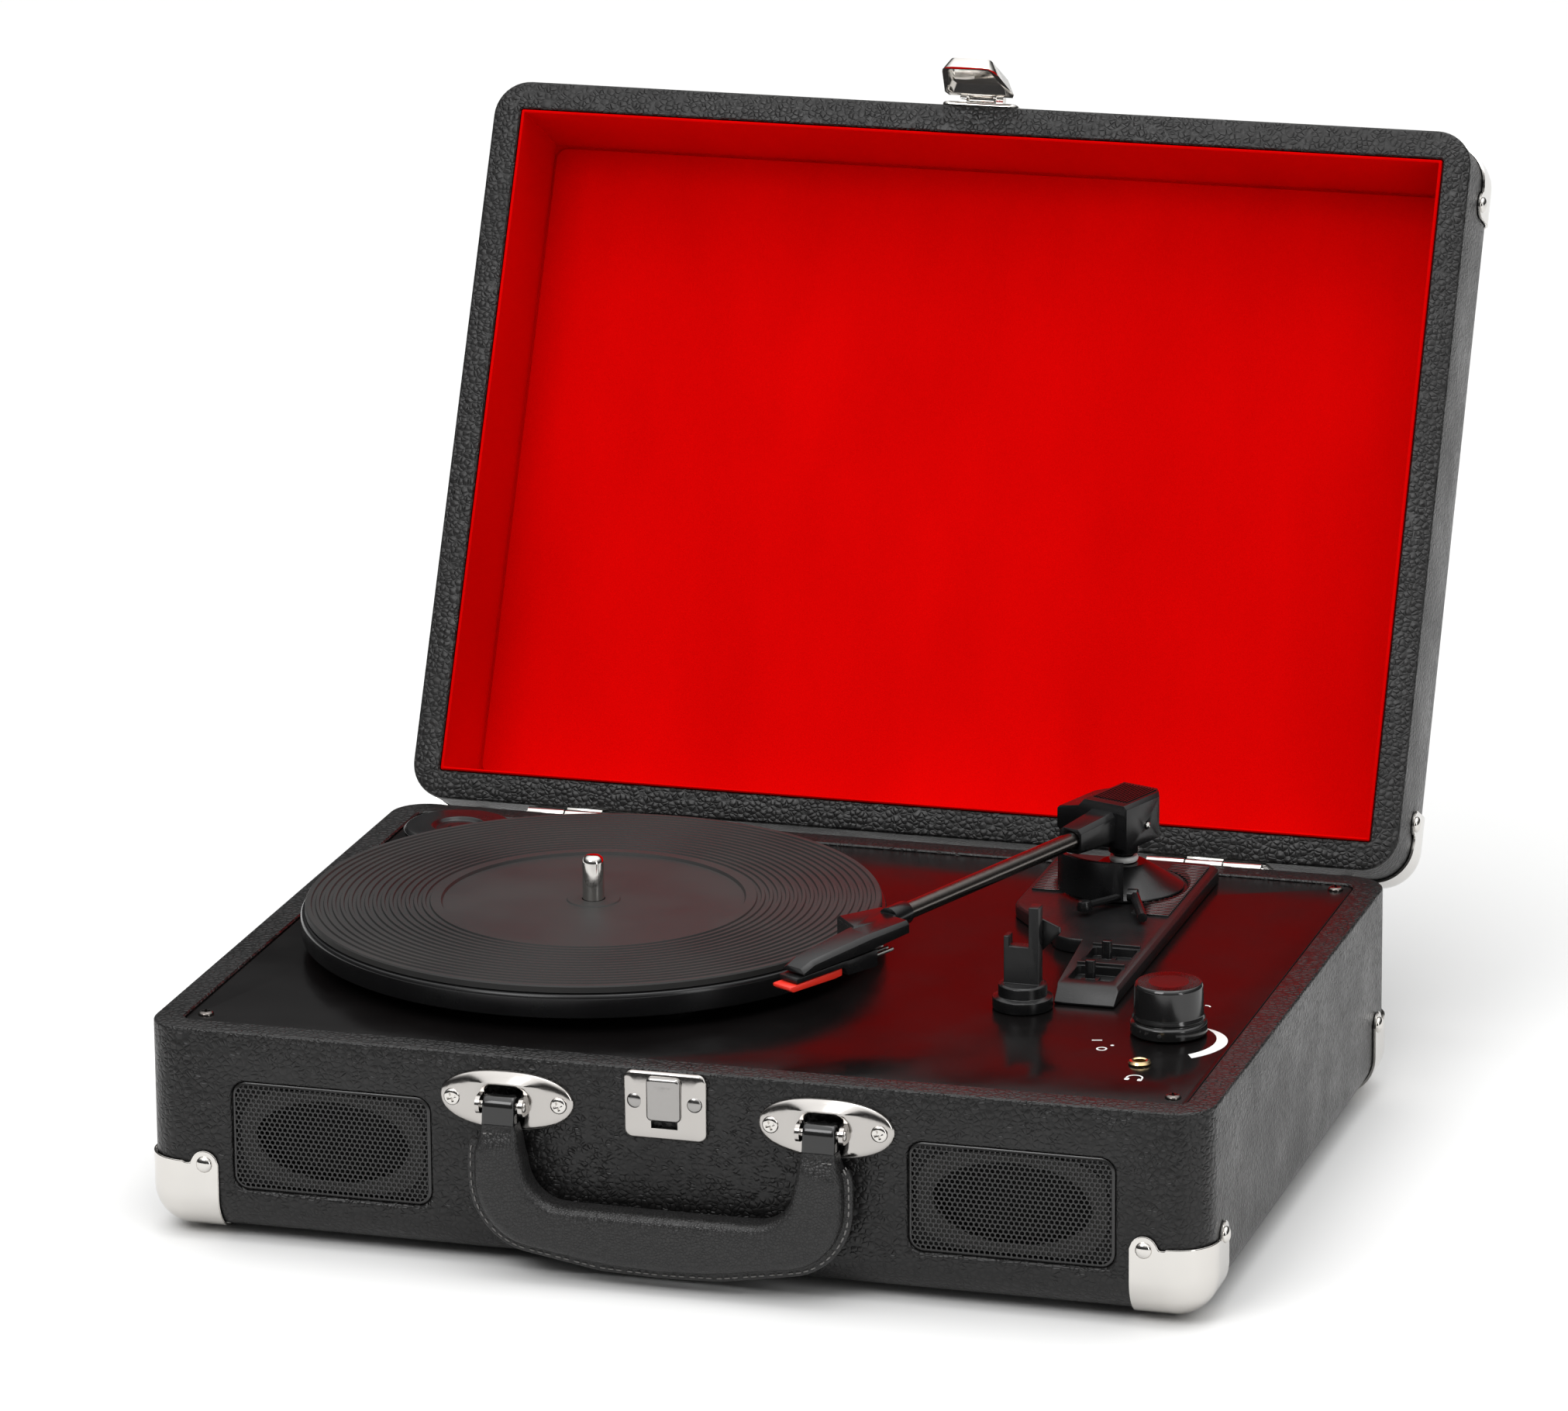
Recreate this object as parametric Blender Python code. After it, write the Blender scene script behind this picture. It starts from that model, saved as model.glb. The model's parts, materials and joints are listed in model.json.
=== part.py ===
"""Suitcase record player, standing open on its four feet, with the lid leaning back on its hinge stops.

Lengths are in metres. +X runs along the front to the right, +Y runs to the back and +Z is up. The player is laid out
in case coordinates, with Y = 0 on the front face of the base and Z = 0 on the ground, and the empty named frame
carries all of it so that the origin ends up under the middle of the whole open player.
"""

from math import acos, cos, pi, radians, sin, sqrt

import bmesh
import bpy
from mathutils import Matrix, Vector

MM = 0.001
GAP = 0.3 * MM  # between two pieces that touch

# Case
CASE_WIDTH = 353 * MM
CASE_DEPTH = 258 * MM
FOOT_HEIGHT = 3 * MM
FOOT_RADIUS = 7 * MM
FOOT_INSET = 32 * MM
BASE_HEIGHT = 68.7 * MM
CORNER_RADIUS = 12.75 * MM
EDGE_RADIUS = 12.5 * MM
RIM_WIDTH = 9.8 * MM
LEDGE_WIDTH = 4 * MM
LEDGE_CORNER = 11 * MM
FLOOR_THICKNESS = 6 * MM
RIM_SOFTNESS = 0.8 * MM
RIM_Z = FOOT_HEIGHT + BASE_HEIGHT
CASE_FRONT_Y = -201 * MM  # puts the origin under the middle of the open player

# Lid
LID_HEIGHT = 45.2 * MM
LID_TOP_THICKNESS = 3.7 * MM
LID_GAP = 0.8 * MM  # over the base's rim when the lid is closed
LID_OPEN = radians(115.7)
HINGE_BEHIND = 3.3 * MM
HINGE_Z = RIM_Z - 2 * MM
HINGE_X = 111 * MM
HINGE_LENGTH = 40 * MM
BARREL_RADIUS = 2.4 * MM
LEAF_THICKNESS = 0.8 * MM
LINING_THICKNESS = 0.9 * MM
LINING_DEPTH = 39 * MM
LINING_SIDE_SLOPE = 0.6 * MM
LINING_END_SLOPE = 2.8 * MM

# Deck
DECK_THICKNESS = 3 * MM
DECK_Z = RIM_Z - 0.7 * MM
DECK_BOTTOM = DECK_Z - DECK_THICKNESS
DECK_SCREW_INSET = 16 * MM

# Platter and its drive
PLATTER_X = -63 * MM
PLATTER_Y = 123 * MM
PLATTER_RADIUS = 97 * MM
PLATTER_TOP = DECK_Z + 13 * MM
DRIVE_RING_RADIUS = 75 * MM
MAT_RADIUS = 95.5 * MM
MAT_THICKNESS = 2.7 * MM
SPINDLE_RADIUS = 3.6 * MM
SPINDLE_TOP = 101.3 * MM
PULLEY_RADIUS = 5 * MM
PULLEY_DISTANCE = 83.5 * MM
PULLEY_BEARING = radians(200)
BELT_THICKNESS = 0.6 * MM
BELT_WIDTH = 4 * MM
FACET_ROOM = 0.2 * MM  # keeps the flat facets of a large ring clear of the one inside it
ADAPTER_X = -144.5 * MM
ADAPTER_Y = 224.5 * MM
ADAPTER_RADIUS = 19 * MM

# Tonearm
ARM_X = 95 * MM
ARM_Y = 213 * MM
ARM_AXIS_Z = 99 * MM
ARM_HEADING = radians(-19.6)  # from straight ahead, towards the platter
ARM_PLATE_TOP = DECK_Z + 5 * MM
ARM_PLATE_LEFT = 64 * MM
ARM_PLATE_RIGHT = 121 * MM
ARM_PLATE_NARROW = 101 * MM
ARM_PLATE_FRONT = 98.5 * MM
ARM_PLATE_BACK = 245.5 * MM
ARM_PLATE_SHOULDER = 160 * MM
SLOT_X = 109.5 * MM
SPEED_SLOT_Y = 118.5 * MM
STOP_SLOT_Y = 140 * MM
BAR_TOP = ARM_PLATE_TOP + 1.2 * MM
TUBE_RADIUS = 2.9 * MM
TUBE_START = 31 * MM
TUBE_END = 127.2 * MM
TUBE_RISE = 0.8 * MM  # above the pivot pin's axis
HEAD_OFFSET = radians(-10)
DOME_HEIGHT = 8.6 * MM
POST_RADIUS = 3.1 * MM
LIFT_RADIUS = 22.5 * MM
LIFT_TOP = 90.8 * MM
LIFT_HEIGHT = 13.2 * MM
REST_X = 92 * MM
REST_Y = 93 * MM
REST_SADDLE = 92 * MM
LEVER_HUB = (103.6 * MM, 191.5 * MM, 80 * MM)
HOUSING_LEFT = -18.6 * MM  # the housing reaches further on the platter's side
HOUSING_RIGHT = 9.4 * MM
CARTRIDGE_X = 7 * MM  # the cartridge hangs to the outer side of the tube

# Controls
KNOB_X = 144 * MM
KNOB_Y = 79.5 * MM
KNOB_HEIGHT = 17.4 * MM
KNOB_RADIUS = 11.1 * MM
KNOB_SKIRT = 12.5 * MM
JACK_X = 142.7 * MM
JACK_Y = 47 * MM
SOCKET_X = 96 * MM
SOCKET_Z = FOOT_HEIGHT + 34 * MM
SOCKET_WIDTH = 64 * MM
SOCKET_HEIGHT = 26 * MM

# Front of the case
GRILLE_X = 113 * MM
GRILLE_Z = FOOT_HEIGHT + 33.7 * MM
GRILLE_WIDTH = 67.5 * MM
GRILLE_HEIGHT = 36.6 * MM
GRILLE_CORNER = 5 * MM
GRILLE_RECESS = 1.6 * MM
GRILLE_POCKET = 4 * MM  # the window behind the grille, with an oval mouth in front of the cone
CONE_WIDTH = 54 * MM
CONE_HEIGHT = 29 * MM
BRACKET_X = 53 * MM
BRACKET_Z = FOOT_HEIGHT + 54.3 * MM
BRACKET_WIDTH = 44.6 * MM
BRACKET_HEIGHT = 19.6 * MM
HANDLE_PIN_Y = -6.6 * MM
HANDLE_HALF = 64 * MM
HANDLE_DROP = 52.6 * MM
HANDLE_GRIP = 21.5 * MM
HANDLE_DEPTH = 10 * MM
FLANGE_WIDTH = 2.8 * MM  # the stitched edge that stands out all round
FLANGE_THICKNESS = 2 * MM
FLANGE_Y = -1.4 * MM
TONGUE_WIDTH = 12 * MM
PIN_RADIUS = 1.5 * MM
STRIKE_WIDTH = 27.5 * MM
STRIKE_HEIGHT = 22.5 * MM
PLATE_THICKNESS = 1.2 * MM
CATCH_WIDTH = 11.5 * MM
CATCH_HEIGHT = 14 * MM
CATCH_Z = RIM_Z - 9 * MM
HASP_WIDTH = 25 * MM
HASP_PIN_UP = 5.5 * MM  # above the lid's rim
HASP_PIN_OUT = 3.6 * MM
HASP_LENGTH = 26.5 * MM
HASP_AJAR = radians(12)  # how far it stands off its latched position while the lid is open
PROTECTOR_REACH = 25 * MM
PROTECTOR_WALL = 0.8 * MM


# ---------------------------------------------------------------- scene and materials


def clear_scene():
    for item in list(bpy.data.objects):
        bpy.data.objects.remove(item, do_unlink=True)


def material(name, colour, roughness, metallic=0.0):
    found = bpy.data.materials.get(name) or bpy.data.materials.new(name)
    found.use_nodes = True
    shader = found.node_tree.nodes["Principled BSDF"]
    shader.inputs["Base Color"].default_value = (*colour, 1.0)
    shader.inputs["Roughness"].default_value = roughness
    shader.inputs["Metallic"].default_value = metallic
    return found


def finishes():
    return {
        "leatherette": material("leatherette", (0.018, 0.018, 0.019), 0.55),
        "red_felt": material("red_felt", (0.72, 0.004, 0.004), 0.9),
        "deck_black": material("deck_black", (0.012, 0.011, 0.011), 0.35),
        "black_plastic": material("black_plastic", (0.02, 0.02, 0.021), 0.45),
        "gloss_black": material("gloss_black", (0.01, 0.01, 0.01), 0.12),
        "mat_rubber": material("mat_rubber", (0.03, 0.03, 0.03), 0.8),
        "grille_metal": material("grille_metal", (0.015, 0.015, 0.015), 0.5, 0.6),
        "chrome": material("chrome", (0.86, 0.86, 0.86), 0.12, 1.0),
        "gold": material("gold", (0.9, 0.62, 0.25), 0.2, 1.0),
        "arm_tube": material("arm_tube", (0.06, 0.055, 0.05), 0.25, 0.8),
        "stylus_red": material("stylus_red", (0.75, 0.02, 0.01), 0.35),
        "white_plastic": material("white_plastic", (0.75, 0.75, 0.73), 0.4),
        "board_green": material("board_green", (0.03, 0.16, 0.07), 0.5),
        "soft_black": material("soft_black", (0.022, 0.022, 0.023), 0.5),
    }


def empty(name, parent, location=(0, 0, 0), rotation=(0, 0, 0)):
    holder = bpy.data.objects.new(name, None)
    holder.empty_display_size = 0.01
    holder.location = location
    holder.rotation_euler = rotation
    holder.parent = parent
    bpy.context.scene.collection.objects.link(holder)
    return holder


# ---------------------------------------------------------------- outlines


def rounded_rectangle(width, height, radius, steps=4):
    """Corner arcs of a rectangle centred on the origin, anticlockwise from the lower right corner."""
    points = []
    centres = ((1, -1, -90), (1, 1, 0), (-1, 1, 90), (-1, -1, 180))
    for sx, sy, start in centres:
        for step in range(steps + 1):
            angle = radians(start + 90 * step / steps)
            x = sx * (width / 2 - radius) + radius * cos(angle)
            y = sy * (height / 2 - radius) + radius * sin(angle)
            points.append((x, y))
    return points


def circle(radius, steps, centre=(0, 0)):
    turn = 2 * pi / steps
    return [(centre[0] + radius * cos(turn * i), centre[1] + radius * sin(turn * i)) for i in range(steps)]


def ellipse(width, height, steps):
    turn = 2 * pi / steps
    return [(width / 2 * cos(turn * i), height / 2 * sin(turn * i)) for i in range(steps)]


def arc(centre, radius, start, end, steps):
    """Points on an arc from start to end, both in degrees."""
    angles = [radians(start + (end - start) * i / steps) for i in range(steps + 1)]
    return [(centre[0] + radius * cos(a), centre[1] + radius * sin(a)) for a in angles]


def moved(outline, dx, dy):
    return [(x + dx, y + dy) for x, y in outline]


# ---------------------------------------------------------------- solids


def loft(rings, closed=False):
    """A solid through rings of equal length: end caps if it is open, a tunnel through it if it is closed."""
    bm = bmesh.new()
    rows = [[bm.verts.new(point) for point in ring] for ring in rings]
    count = len(rows[0])
    pairs = list(zip(rows, rows[1:]))
    if closed:
        pairs.append((rows[-1], rows[0]))
    for low, high in pairs:
        for i in range(count):
            j = (i + 1) % count
            bm.faces.new((low[i], low[j], high[j], high[i]))
    if not closed:
        bm.faces.new(list(reversed(rows[0])))
        bm.faces.new(rows[-1])
    return bm


def prism(outline, start, end, axis="z", soften=0.0):
    """Extrudes an outline along an axis. soften draws the last edge in, towards the outline's middle."""
    place = {
        "z": lambda u, v, t: Vector((u, v, t)),
        "y": lambda u, v, t: Vector((u, t, v)),
        "x": lambda u, v, t: Vector((t, u, v)),
    }[axis]
    rings = [[place(u, v, start) for u, v in outline]]
    if soften:
        way = 1 if end > start else -1
        mid_u = (min(u for u, v in outline) + max(u for u, v in outline)) / 2
        mid_v = (min(v for u, v in outline) + max(v for u, v in outline)) / 2
        half_u = max(u for u, v in outline) - mid_u
        half_v = max(v for u, v in outline) - mid_v
        drawn = [
            (mid_u + (u - mid_u) * (1 - soften / half_u), mid_v + (v - mid_v) * (1 - soften / half_v))
            for u, v in outline
        ]
        rings.append([place(u, v, end - way * soften) for u, v in outline])
        rings.append([place(u, v, end) for u, v in drawn])
    else:
        rings.append([place(u, v, end) for u, v in outline])
    return loft(rings)


def turned(profile, steps=28, bore=False):
    """Turns (radius, height) points about Z. Without a bore, the first and last points are flat end discs."""
    rings = [[Vector((x, y, z)) for x, y in circle(radius, steps)] for radius, z in profile]
    return loft(rings, closed=bore)


def rod(start, end, radius, steps=12):
    """A round bar between two points."""
    start, end = Vector(start), Vector(end)
    along = (end - start).normalized()
    turn = along.to_track_quat("Z", "Y").to_matrix()
    rings = []
    for point in (start, end):
        rings.append([point + turn @ Vector((x, y, 0)) for x, y in circle(radius, steps)])
    return loft(rings)


def block(low, high):
    (x0, y0, z0), (x1, y1, z1) = low, high
    return prism([(x0, y0), (x1, y0), (x1, y1), (x0, y1)], z0, z1)


def piece(name, bm, finish, parent, location=(0, 0, 0), rotation=(0, 0, 0), sharp=35):
    """One named object, shaded smooth except across sharp edges."""
    bmesh.ops.recalc_face_normals(bm, faces=bm.faces[:])
    mesh = bpy.data.meshes.new(name)
    bm.to_mesh(mesh)
    bm.free()
    mesh.shade_smooth()
    mesh.set_sharp_from_angle(angle=radians(sharp))
    mesh.materials.append(FINISH[finish])
    made = bpy.data.objects.new(name, mesh)
    made.location = location
    made.rotation_euler = rotation
    made.parent = parent
    bpy.context.scene.collection.objects.link(made)
    return made


def helper(bm, host, location=(0, 0, 0), rotation=(0, 0, 0)):
    """An unrendered operand for a Boolean, in the coordinates of the host's parent."""
    bmesh.ops.recalc_face_normals(bm, faces=bm.faces[:])
    mesh = bpy.data.meshes.new(host.name + "_tool")
    bm.to_mesh(mesh)
    bm.free()
    tool = bpy.data.objects.new(host.name + "_tool", mesh)
    tool.location = location
    tool.rotation_euler = rotation
    tool.parent = host.parent
    tool.hide_render = True
    tool.display_type = "WIRE"
    bpy.context.scene.collection.objects.link(tool)
    return tool


def combine(host, bm, operation, **place):
    modifier = host.modifiers.new(operation.lower(), "BOOLEAN")
    modifier.operation = operation
    modifier.solver = "EXACT"
    modifier.object = helper(bm, host, **place)


def cut(host, bm, **place):
    combine(host, bm, "DIFFERENCE", **place)


def fuse(host, bm, **place):
    combine(host, bm, "UNION", **place)


# ---------------------------------------------------------------- case shells


def shell_rings(height, inner):
    """Rings of an open tray seen from its closed side: rounded outer edge, wall, rim, then the given inner rings.

    Each inner entry is (inset in x, inset in y, height, corner radius).
    """
    rings = []
    for step in range(5):
        angle = radians(90 * step / 4)
        inset = EDGE_RADIUS * (1 - sin(angle))
        rings.append((inset, inset, EDGE_RADIUS * (1 - cos(angle)), CORNER_RADIUS - inset))
    rings.append((0, 0, height - RIM_SOFTNESS, CORNER_RADIUS))
    rings.append((RIM_SOFTNESS, RIM_SOFTNESS, height, CORNER_RADIUS - RIM_SOFTNESS))
    return rings + inner


def tray(rings, up):
    """A lofted tray in case coordinates. up is 1 for a tray that opens upwards and -1 for one that opens downwards."""
    made = []
    for inset_x, inset_y, z, radius in rings:
        outline = rounded_rectangle(CASE_WIDTH - 2 * inset_x, CASE_DEPTH - 2 * inset_y, radius)
        made.append([Vector((x, y + CASE_DEPTH / 2, up * z)) for x, y in outline])
    return loft(made)


def grille_outline(margin=0.0):
    width, height = GRILLE_WIDTH - 2 * margin, GRILLE_HEIGHT - 2 * margin
    return rounded_rectangle(width, height, GRILLE_CORNER - margin / 2, 4)


def build_base(frame):
    ledge_z = DECK_BOTTOM - GAP - FOOT_HEIGHT
    rings = shell_rings(
        BASE_HEIGHT,
        [
            (RIM_WIDTH, RIM_WIDTH, BASE_HEIGHT, 4 * MM),
            (RIM_WIDTH, RIM_WIDTH, ledge_z, 4 * MM),
            (RIM_WIDTH + LEDGE_WIDTH, RIM_WIDTH + LEDGE_WIDTH, ledge_z, LEDGE_CORNER),
            (RIM_WIDTH + LEDGE_WIDTH, RIM_WIDTH + LEDGE_WIDTH, FLOOR_THICKNESS, LEDGE_CORNER),
        ],
    )
    case = piece("base_case", tray(rings, 1), "leatherette", frame, (0, 0, FOOT_HEIGHT))
    for side in (-1, 1):
        window = moved(grille_outline(), side * GRILLE_X, GRILLE_Z)
        cut(case, prism(window, -5 * MM, GRILLE_POCKET, "y"))
        mouth = moved(ellipse(CONE_WIDTH, CONE_HEIGHT, 20), side * GRILLE_X, GRILLE_Z)
        cut(case, prism(mouth, 1 * MM, RIM_WIDTH + LEDGE_WIDTH + 3 * MM, "y"))
    opening = moved(rounded_rectangle(SOCKET_WIDTH, SOCKET_HEIGHT, 2 * MM, 2), SOCKET_X, SOCKET_Z)
    back_start = CASE_DEPTH - RIM_WIDTH - LEDGE_WIDTH - 3 * MM
    cut(case, prism(opening, back_start, CASE_DEPTH + 5 * MM, "y"))
    for name, sx, sy in corners():
        x = sx * (CASE_WIDTH / 2 - FOOT_INSET)
        y = CASE_DEPTH / 2 + sy * (CASE_DEPTH / 2 - FOOT_INSET)
        profile = [(FOOT_RADIUS - 1 * MM, 0), (FOOT_RADIUS, 1 * MM), (FOOT_RADIUS, FOOT_HEIGHT - GAP)]
        piece("foot_" + name, turned(profile, 20), "mat_rubber", frame, (x, y, 0))


def corners():
    return (
        ("front_left", -1, -1),
        ("front_right", 1, -1),
        ("back_left", -1, 1),
        ("back_right", 1, 1),
    )


def build_deck(frame):
    margin = RIM_WIDTH + GAP
    width, depth = CASE_WIDTH - 2 * margin, CASE_DEPTH - 2 * margin
    outline = moved(rounded_rectangle(width, depth, 3.6 * MM, 3), 0, CASE_DEPTH / 2)
    deck = piece("deck_plate", prism(outline, DECK_BOTTOM, DECK_Z, soften=0.4 * MM), "deck_black", frame)
    low, high = DECK_BOTTOM - 2 * MM, DECK_Z + 2 * MM
    pulley_x, pulley_y = pulley_centre()
    holes = [
        (PLATTER_X, PLATTER_Y, 9 * MM, 20),
        (pulley_x, pulley_y, 9 * MM, 20),
        (KNOB_X, KNOB_Y, 4.4 * MM, 16),
        (JACK_X, JACK_Y, 3.3 * MM, 16),
        (ARM_X, ARM_Y, POST_RADIUS + 1.4 * MM, 16),
    ]
    for x, y, radius, steps in holes:
        cut(deck, prism(circle(radius, steps, (x, y)), low, high))
    for centre_y in (SPEED_SLOT_Y, STOP_SLOT_Y):
        slot = moved(rounded_rectangle(15 * MM, 7 * MM, 1 * MM, 1), SLOT_X, centre_y)
        cut(deck, prism(slot, low, high))
    fuse(deck, prism(circle(3.4 * MM, 16, (ADAPTER_X, ADAPTER_Y)), DECK_Z - 1 * MM, DECK_Z + 3.5 * MM))


# ---------------------------------------------------------------- platter and drive


def pulley_centre():
    x = PLATTER_X + PULLEY_DISTANCE * cos(PULLEY_BEARING)
    y = PLATTER_Y + PULLEY_DISTANCE * sin(PULLEY_BEARING)
    return x, y


def belt_loop(ring_radius, pulley_radius):
    """The outline of a band stretched round the drive ring and the pulley, in case coordinates."""
    wrap = acos((ring_radius - pulley_radius) / PULLEY_DISTANCE) * 180 / pi
    bearing = PULLEY_BEARING * 180 / pi
    ring = arc((PLATTER_X, PLATTER_Y), ring_radius, bearing + wrap, bearing + 360 - wrap, 38)
    pulley = arc(pulley_centre(), pulley_radius, bearing - wrap, bearing + wrap, 8)
    return ring + pulley


def build_drive(frame):
    hub_bottom = DECK_Z + 1.5 * MM
    bore = SPINDLE_RADIUS + GAP
    profile = [
        (bore, hub_bottom),
        (11 * MM, hub_bottom),
        (12 * MM, PLATTER_TOP - 3 * MM),
        (DRIVE_RING_RADIUS - 2.2 * MM, PLATTER_TOP - 3 * MM),
        (DRIVE_RING_RADIUS - 2.2 * MM, DECK_Z + 2 * MM),
        (DRIVE_RING_RADIUS, DECK_Z + 2 * MM),
        (DRIVE_RING_RADIUS, PLATTER_TOP - 3 * MM),
        (PLATTER_RADIUS - 2.5 * MM, PLATTER_TOP - 3 * MM),
        (PLATTER_RADIUS - 2.2 * MM, PLATTER_TOP - 8 * MM),
        (PLATTER_RADIUS - 0.4 * MM, PLATTER_TOP - 8 * MM),
        (PLATTER_RADIUS, PLATTER_TOP - 1.2 * MM),
        (PLATTER_RADIUS - 1 * MM, PLATTER_TOP),
        (bore, PLATTER_TOP),
    ]
    centre = (PLATTER_X, PLATTER_Y, 0)
    piece("platter", turned(profile, 44, bore=True), "black_plastic", frame, centre)

    mat_bottom = PLATTER_TOP + GAP
    mat_top = PLATTER_TOP + MAT_THICKNESS
    mat = [(bore, mat_bottom), (MAT_RADIUS, mat_bottom), (MAT_RADIUS, mat_top), (bore, mat_top)]
    piece("platter_mat", turned(mat, 44, bore=True), "mat_rubber", frame, centre)

    spindle = [
        (6 * MM, DECK_BOTTOM - 14 * MM),
        (6 * MM, DECK_BOTTOM - 4 * MM),
        (16 * MM, DECK_BOTTOM - 4 * MM),
        (16 * MM, DECK_BOTTOM - GAP),
        (7 * MM, DECK_BOTTOM - GAP),
        (7 * MM, hub_bottom - GAP),
        (SPINDLE_RADIUS, hub_bottom - GAP),
        (SPINDLE_RADIUS, SPINDLE_TOP - 1.6 * MM),
        (SPINDLE_RADIUS - 1.2 * MM, SPINDLE_TOP),
    ]
    piece("spindle", turned(spindle, 20), "chrome", frame, centre)

    pulley_x, pulley_y = pulley_centre()
    belt_z = DECK_Z + 3.5 * MM
    shaft = 1 * MM
    motor = [
        (16 * MM, DECK_BOTTOM - 28 * MM),
        (17.5 * MM, DECK_BOTTOM - 26 * MM),
        (17.5 * MM, DECK_BOTTOM - 3 * MM),
        (21 * MM, DECK_BOTTOM - 3 * MM),
        (21 * MM, DECK_BOTTOM - GAP),
        (5 * MM, DECK_BOTTOM - GAP),
        (5 * MM, DECK_Z - 1 * MM),
        (shaft, DECK_Z - 1 * MM),
        (shaft, belt_z + BELT_WIDTH + 2.2 * MM),
    ]
    piece("motor", turned(motor, 18), "chrome", frame, (pulley_x, pulley_y, 0))
    low, high = belt_z - 1.6 * MM, belt_z + BELT_WIDTH + 1.6 * MM
    flange = PULLEY_RADIUS + 1.3 * MM
    pulley = [
        (shaft + GAP, low),
        (flange, low),
        (PULLEY_RADIUS, low + 1.2 * MM),
        (PULLEY_RADIUS, high - 1.2 * MM),
        (flange, high),
        (shaft + GAP, high),
    ]
    piece("motor_pulley", turned(pulley, 16, bore=True), "white_plastic", frame, (pulley_x, pulley_y, 0))

    rings = []
    for offset, z in ((0, 0), (1, 0), (1, BELT_WIDTH), (0, BELT_WIDTH)):
        grow = GAP + offset * BELT_THICKNESS
        outline = belt_loop(DRIVE_RING_RADIUS + FACET_ROOM + grow, PULLEY_RADIUS + grow)
        rings.append([Vector((x, y, belt_z + z)) for x, y in outline])
    piece("drive_belt", loft(rings, closed=True), "mat_rubber", frame)

    adapter_z = DECK_Z + GAP
    adapter = [
        (3.75 * MM, adapter_z),
        (ADAPTER_RADIUS - 1 * MM, adapter_z),
        (ADAPTER_RADIUS, adapter_z + 3 * MM),
        (ADAPTER_RADIUS - 1.2 * MM, adapter_z + 4.2 * MM),
        (9 * MM, adapter_z + 4.2 * MM),
        (8 * MM, adapter_z + 3 * MM),
        (3.75 * MM, adapter_z + 3 * MM),
    ]
    place = (ADAPTER_X, ADAPTER_Y, 0)
    piece("adapter_45", turned(adapter, 26, bore=True), "black_plastic", frame, place)


# ---------------------------------------------------------------- tonearm


def build_arm_plate(frame):
    left, narrow, right = ARM_PLATE_LEFT, ARM_PLATE_NARROW, ARM_PLATE_RIGHT
    outline = [(narrow, ARM_PLATE_FRONT), (right, ARM_PLATE_FRONT)]
    outline += arc((right - 5 * MM, ARM_PLATE_BACK - 5 * MM), 5 * MM, 0, 90, 4)
    outline += arc((left + 5 * MM, ARM_PLATE_BACK - 5 * MM), 5 * MM, 90, 180, 4)
    outline += arc((left + 12 * MM, ARM_PLATE_SHOULDER + 30 * MM), 12 * MM, 180, 220, 3)
    outline += arc((94 * MM, ARM_PLATE_SHOULDER + 2 * MM), 10 * MM, 190, 285, 6)
    plate = piece("arm_plate", prism(outline, DECK_Z + GAP, ARM_PLATE_TOP, soften=1 * MM), "black_plastic", frame)
    nose = [(ARM_PLATE_FRONT - 4 * MM, ARM_PLATE_TOP + 2 * MM), (ARM_PLATE_FRONT - 4 * MM, DECK_Z + 1 * MM)]
    nose += [(ARM_PLATE_FRONT, DECK_Z + 1 * MM), (ARM_PLATE_FRONT + 8 * MM, ARM_PLATE_TOP + 0.2 * MM)]
    nose.append((ARM_PLATE_FRONT + 8 * MM, ARM_PLATE_TOP + 2 * MM))
    cut(plate, prism(nose, narrow - 5 * MM, right + 5 * MM, "x"))
    for centre_y, depth in ((SPEED_SLOT_Y, 14 * MM), (STOP_SLOT_Y, 12 * MM)):
        well = moved(rounded_rectangle(15 * MM, depth, 1 * MM, 1), SLOT_X, centre_y)
        cut(plate, prism(well, DECK_Z + 2 * MM, ARM_PLATE_TOP + 2 * MM))
        slot = moved(rounded_rectangle(12 * MM, 4.4 * MM, 1 * MM, 1), SLOT_X, centre_y)
        cut(plate, prism(slot, DECK_Z - 2 * MM, ARM_PLATE_TOP + 2 * MM))
        bar_y = centre_y + depth / 2 + 0.4 * MM
        bar = block((SLOT_X - 8 * MM, bar_y, DECK_Z + 3 * MM), (SLOT_X + 8 * MM, bar_y + 1.4 * MM, BAR_TOP))
        fuse(plate, bar)
    post_hole = circle(POST_RADIUS + 1 * MM, 16, (ARM_X, ARM_Y))
    cut(plate, prism(post_hole, DECK_Z - 2 * MM, ARM_PLATE_TOP + 2 * MM))

    low = ARM_PLATE_TOP + GAP
    dome_top = low + DOME_HEIGHT
    bore = POST_RADIUS + GAP
    dome = [
        (bore, low),
        (20.5 * MM, low),
        (20.5 * MM, low + 0.8 * MM),
        (17 * MM, low + 2.6 * MM),
        (7.5 * MM, dome_top),
        (bore, dome_top),
    ]
    centre = (ARM_X, ARM_Y, 0)
    piece("arm_pivot_base", turned(dome, 28, bore=True), "black_plastic", frame, centre)
    ring_z = dome_top + GAP
    collar = [
        (bore, ring_z),
        (4.6 * MM, ring_z),
        (5 * MM, ring_z + 1 * MM),
        (4.6 * MM, ring_z + 2 * MM),
        (bore, ring_z + 2 * MM),
    ]
    piece("arm_pivot_collar", turned(collar, 20, bore=True), "white_plastic", frame, centre)


def polar(centre, radius, degrees):
    angle = radians(degrees)
    return centre[0] + radius * cos(angle), centre[1] + radius * sin(angle)


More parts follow.
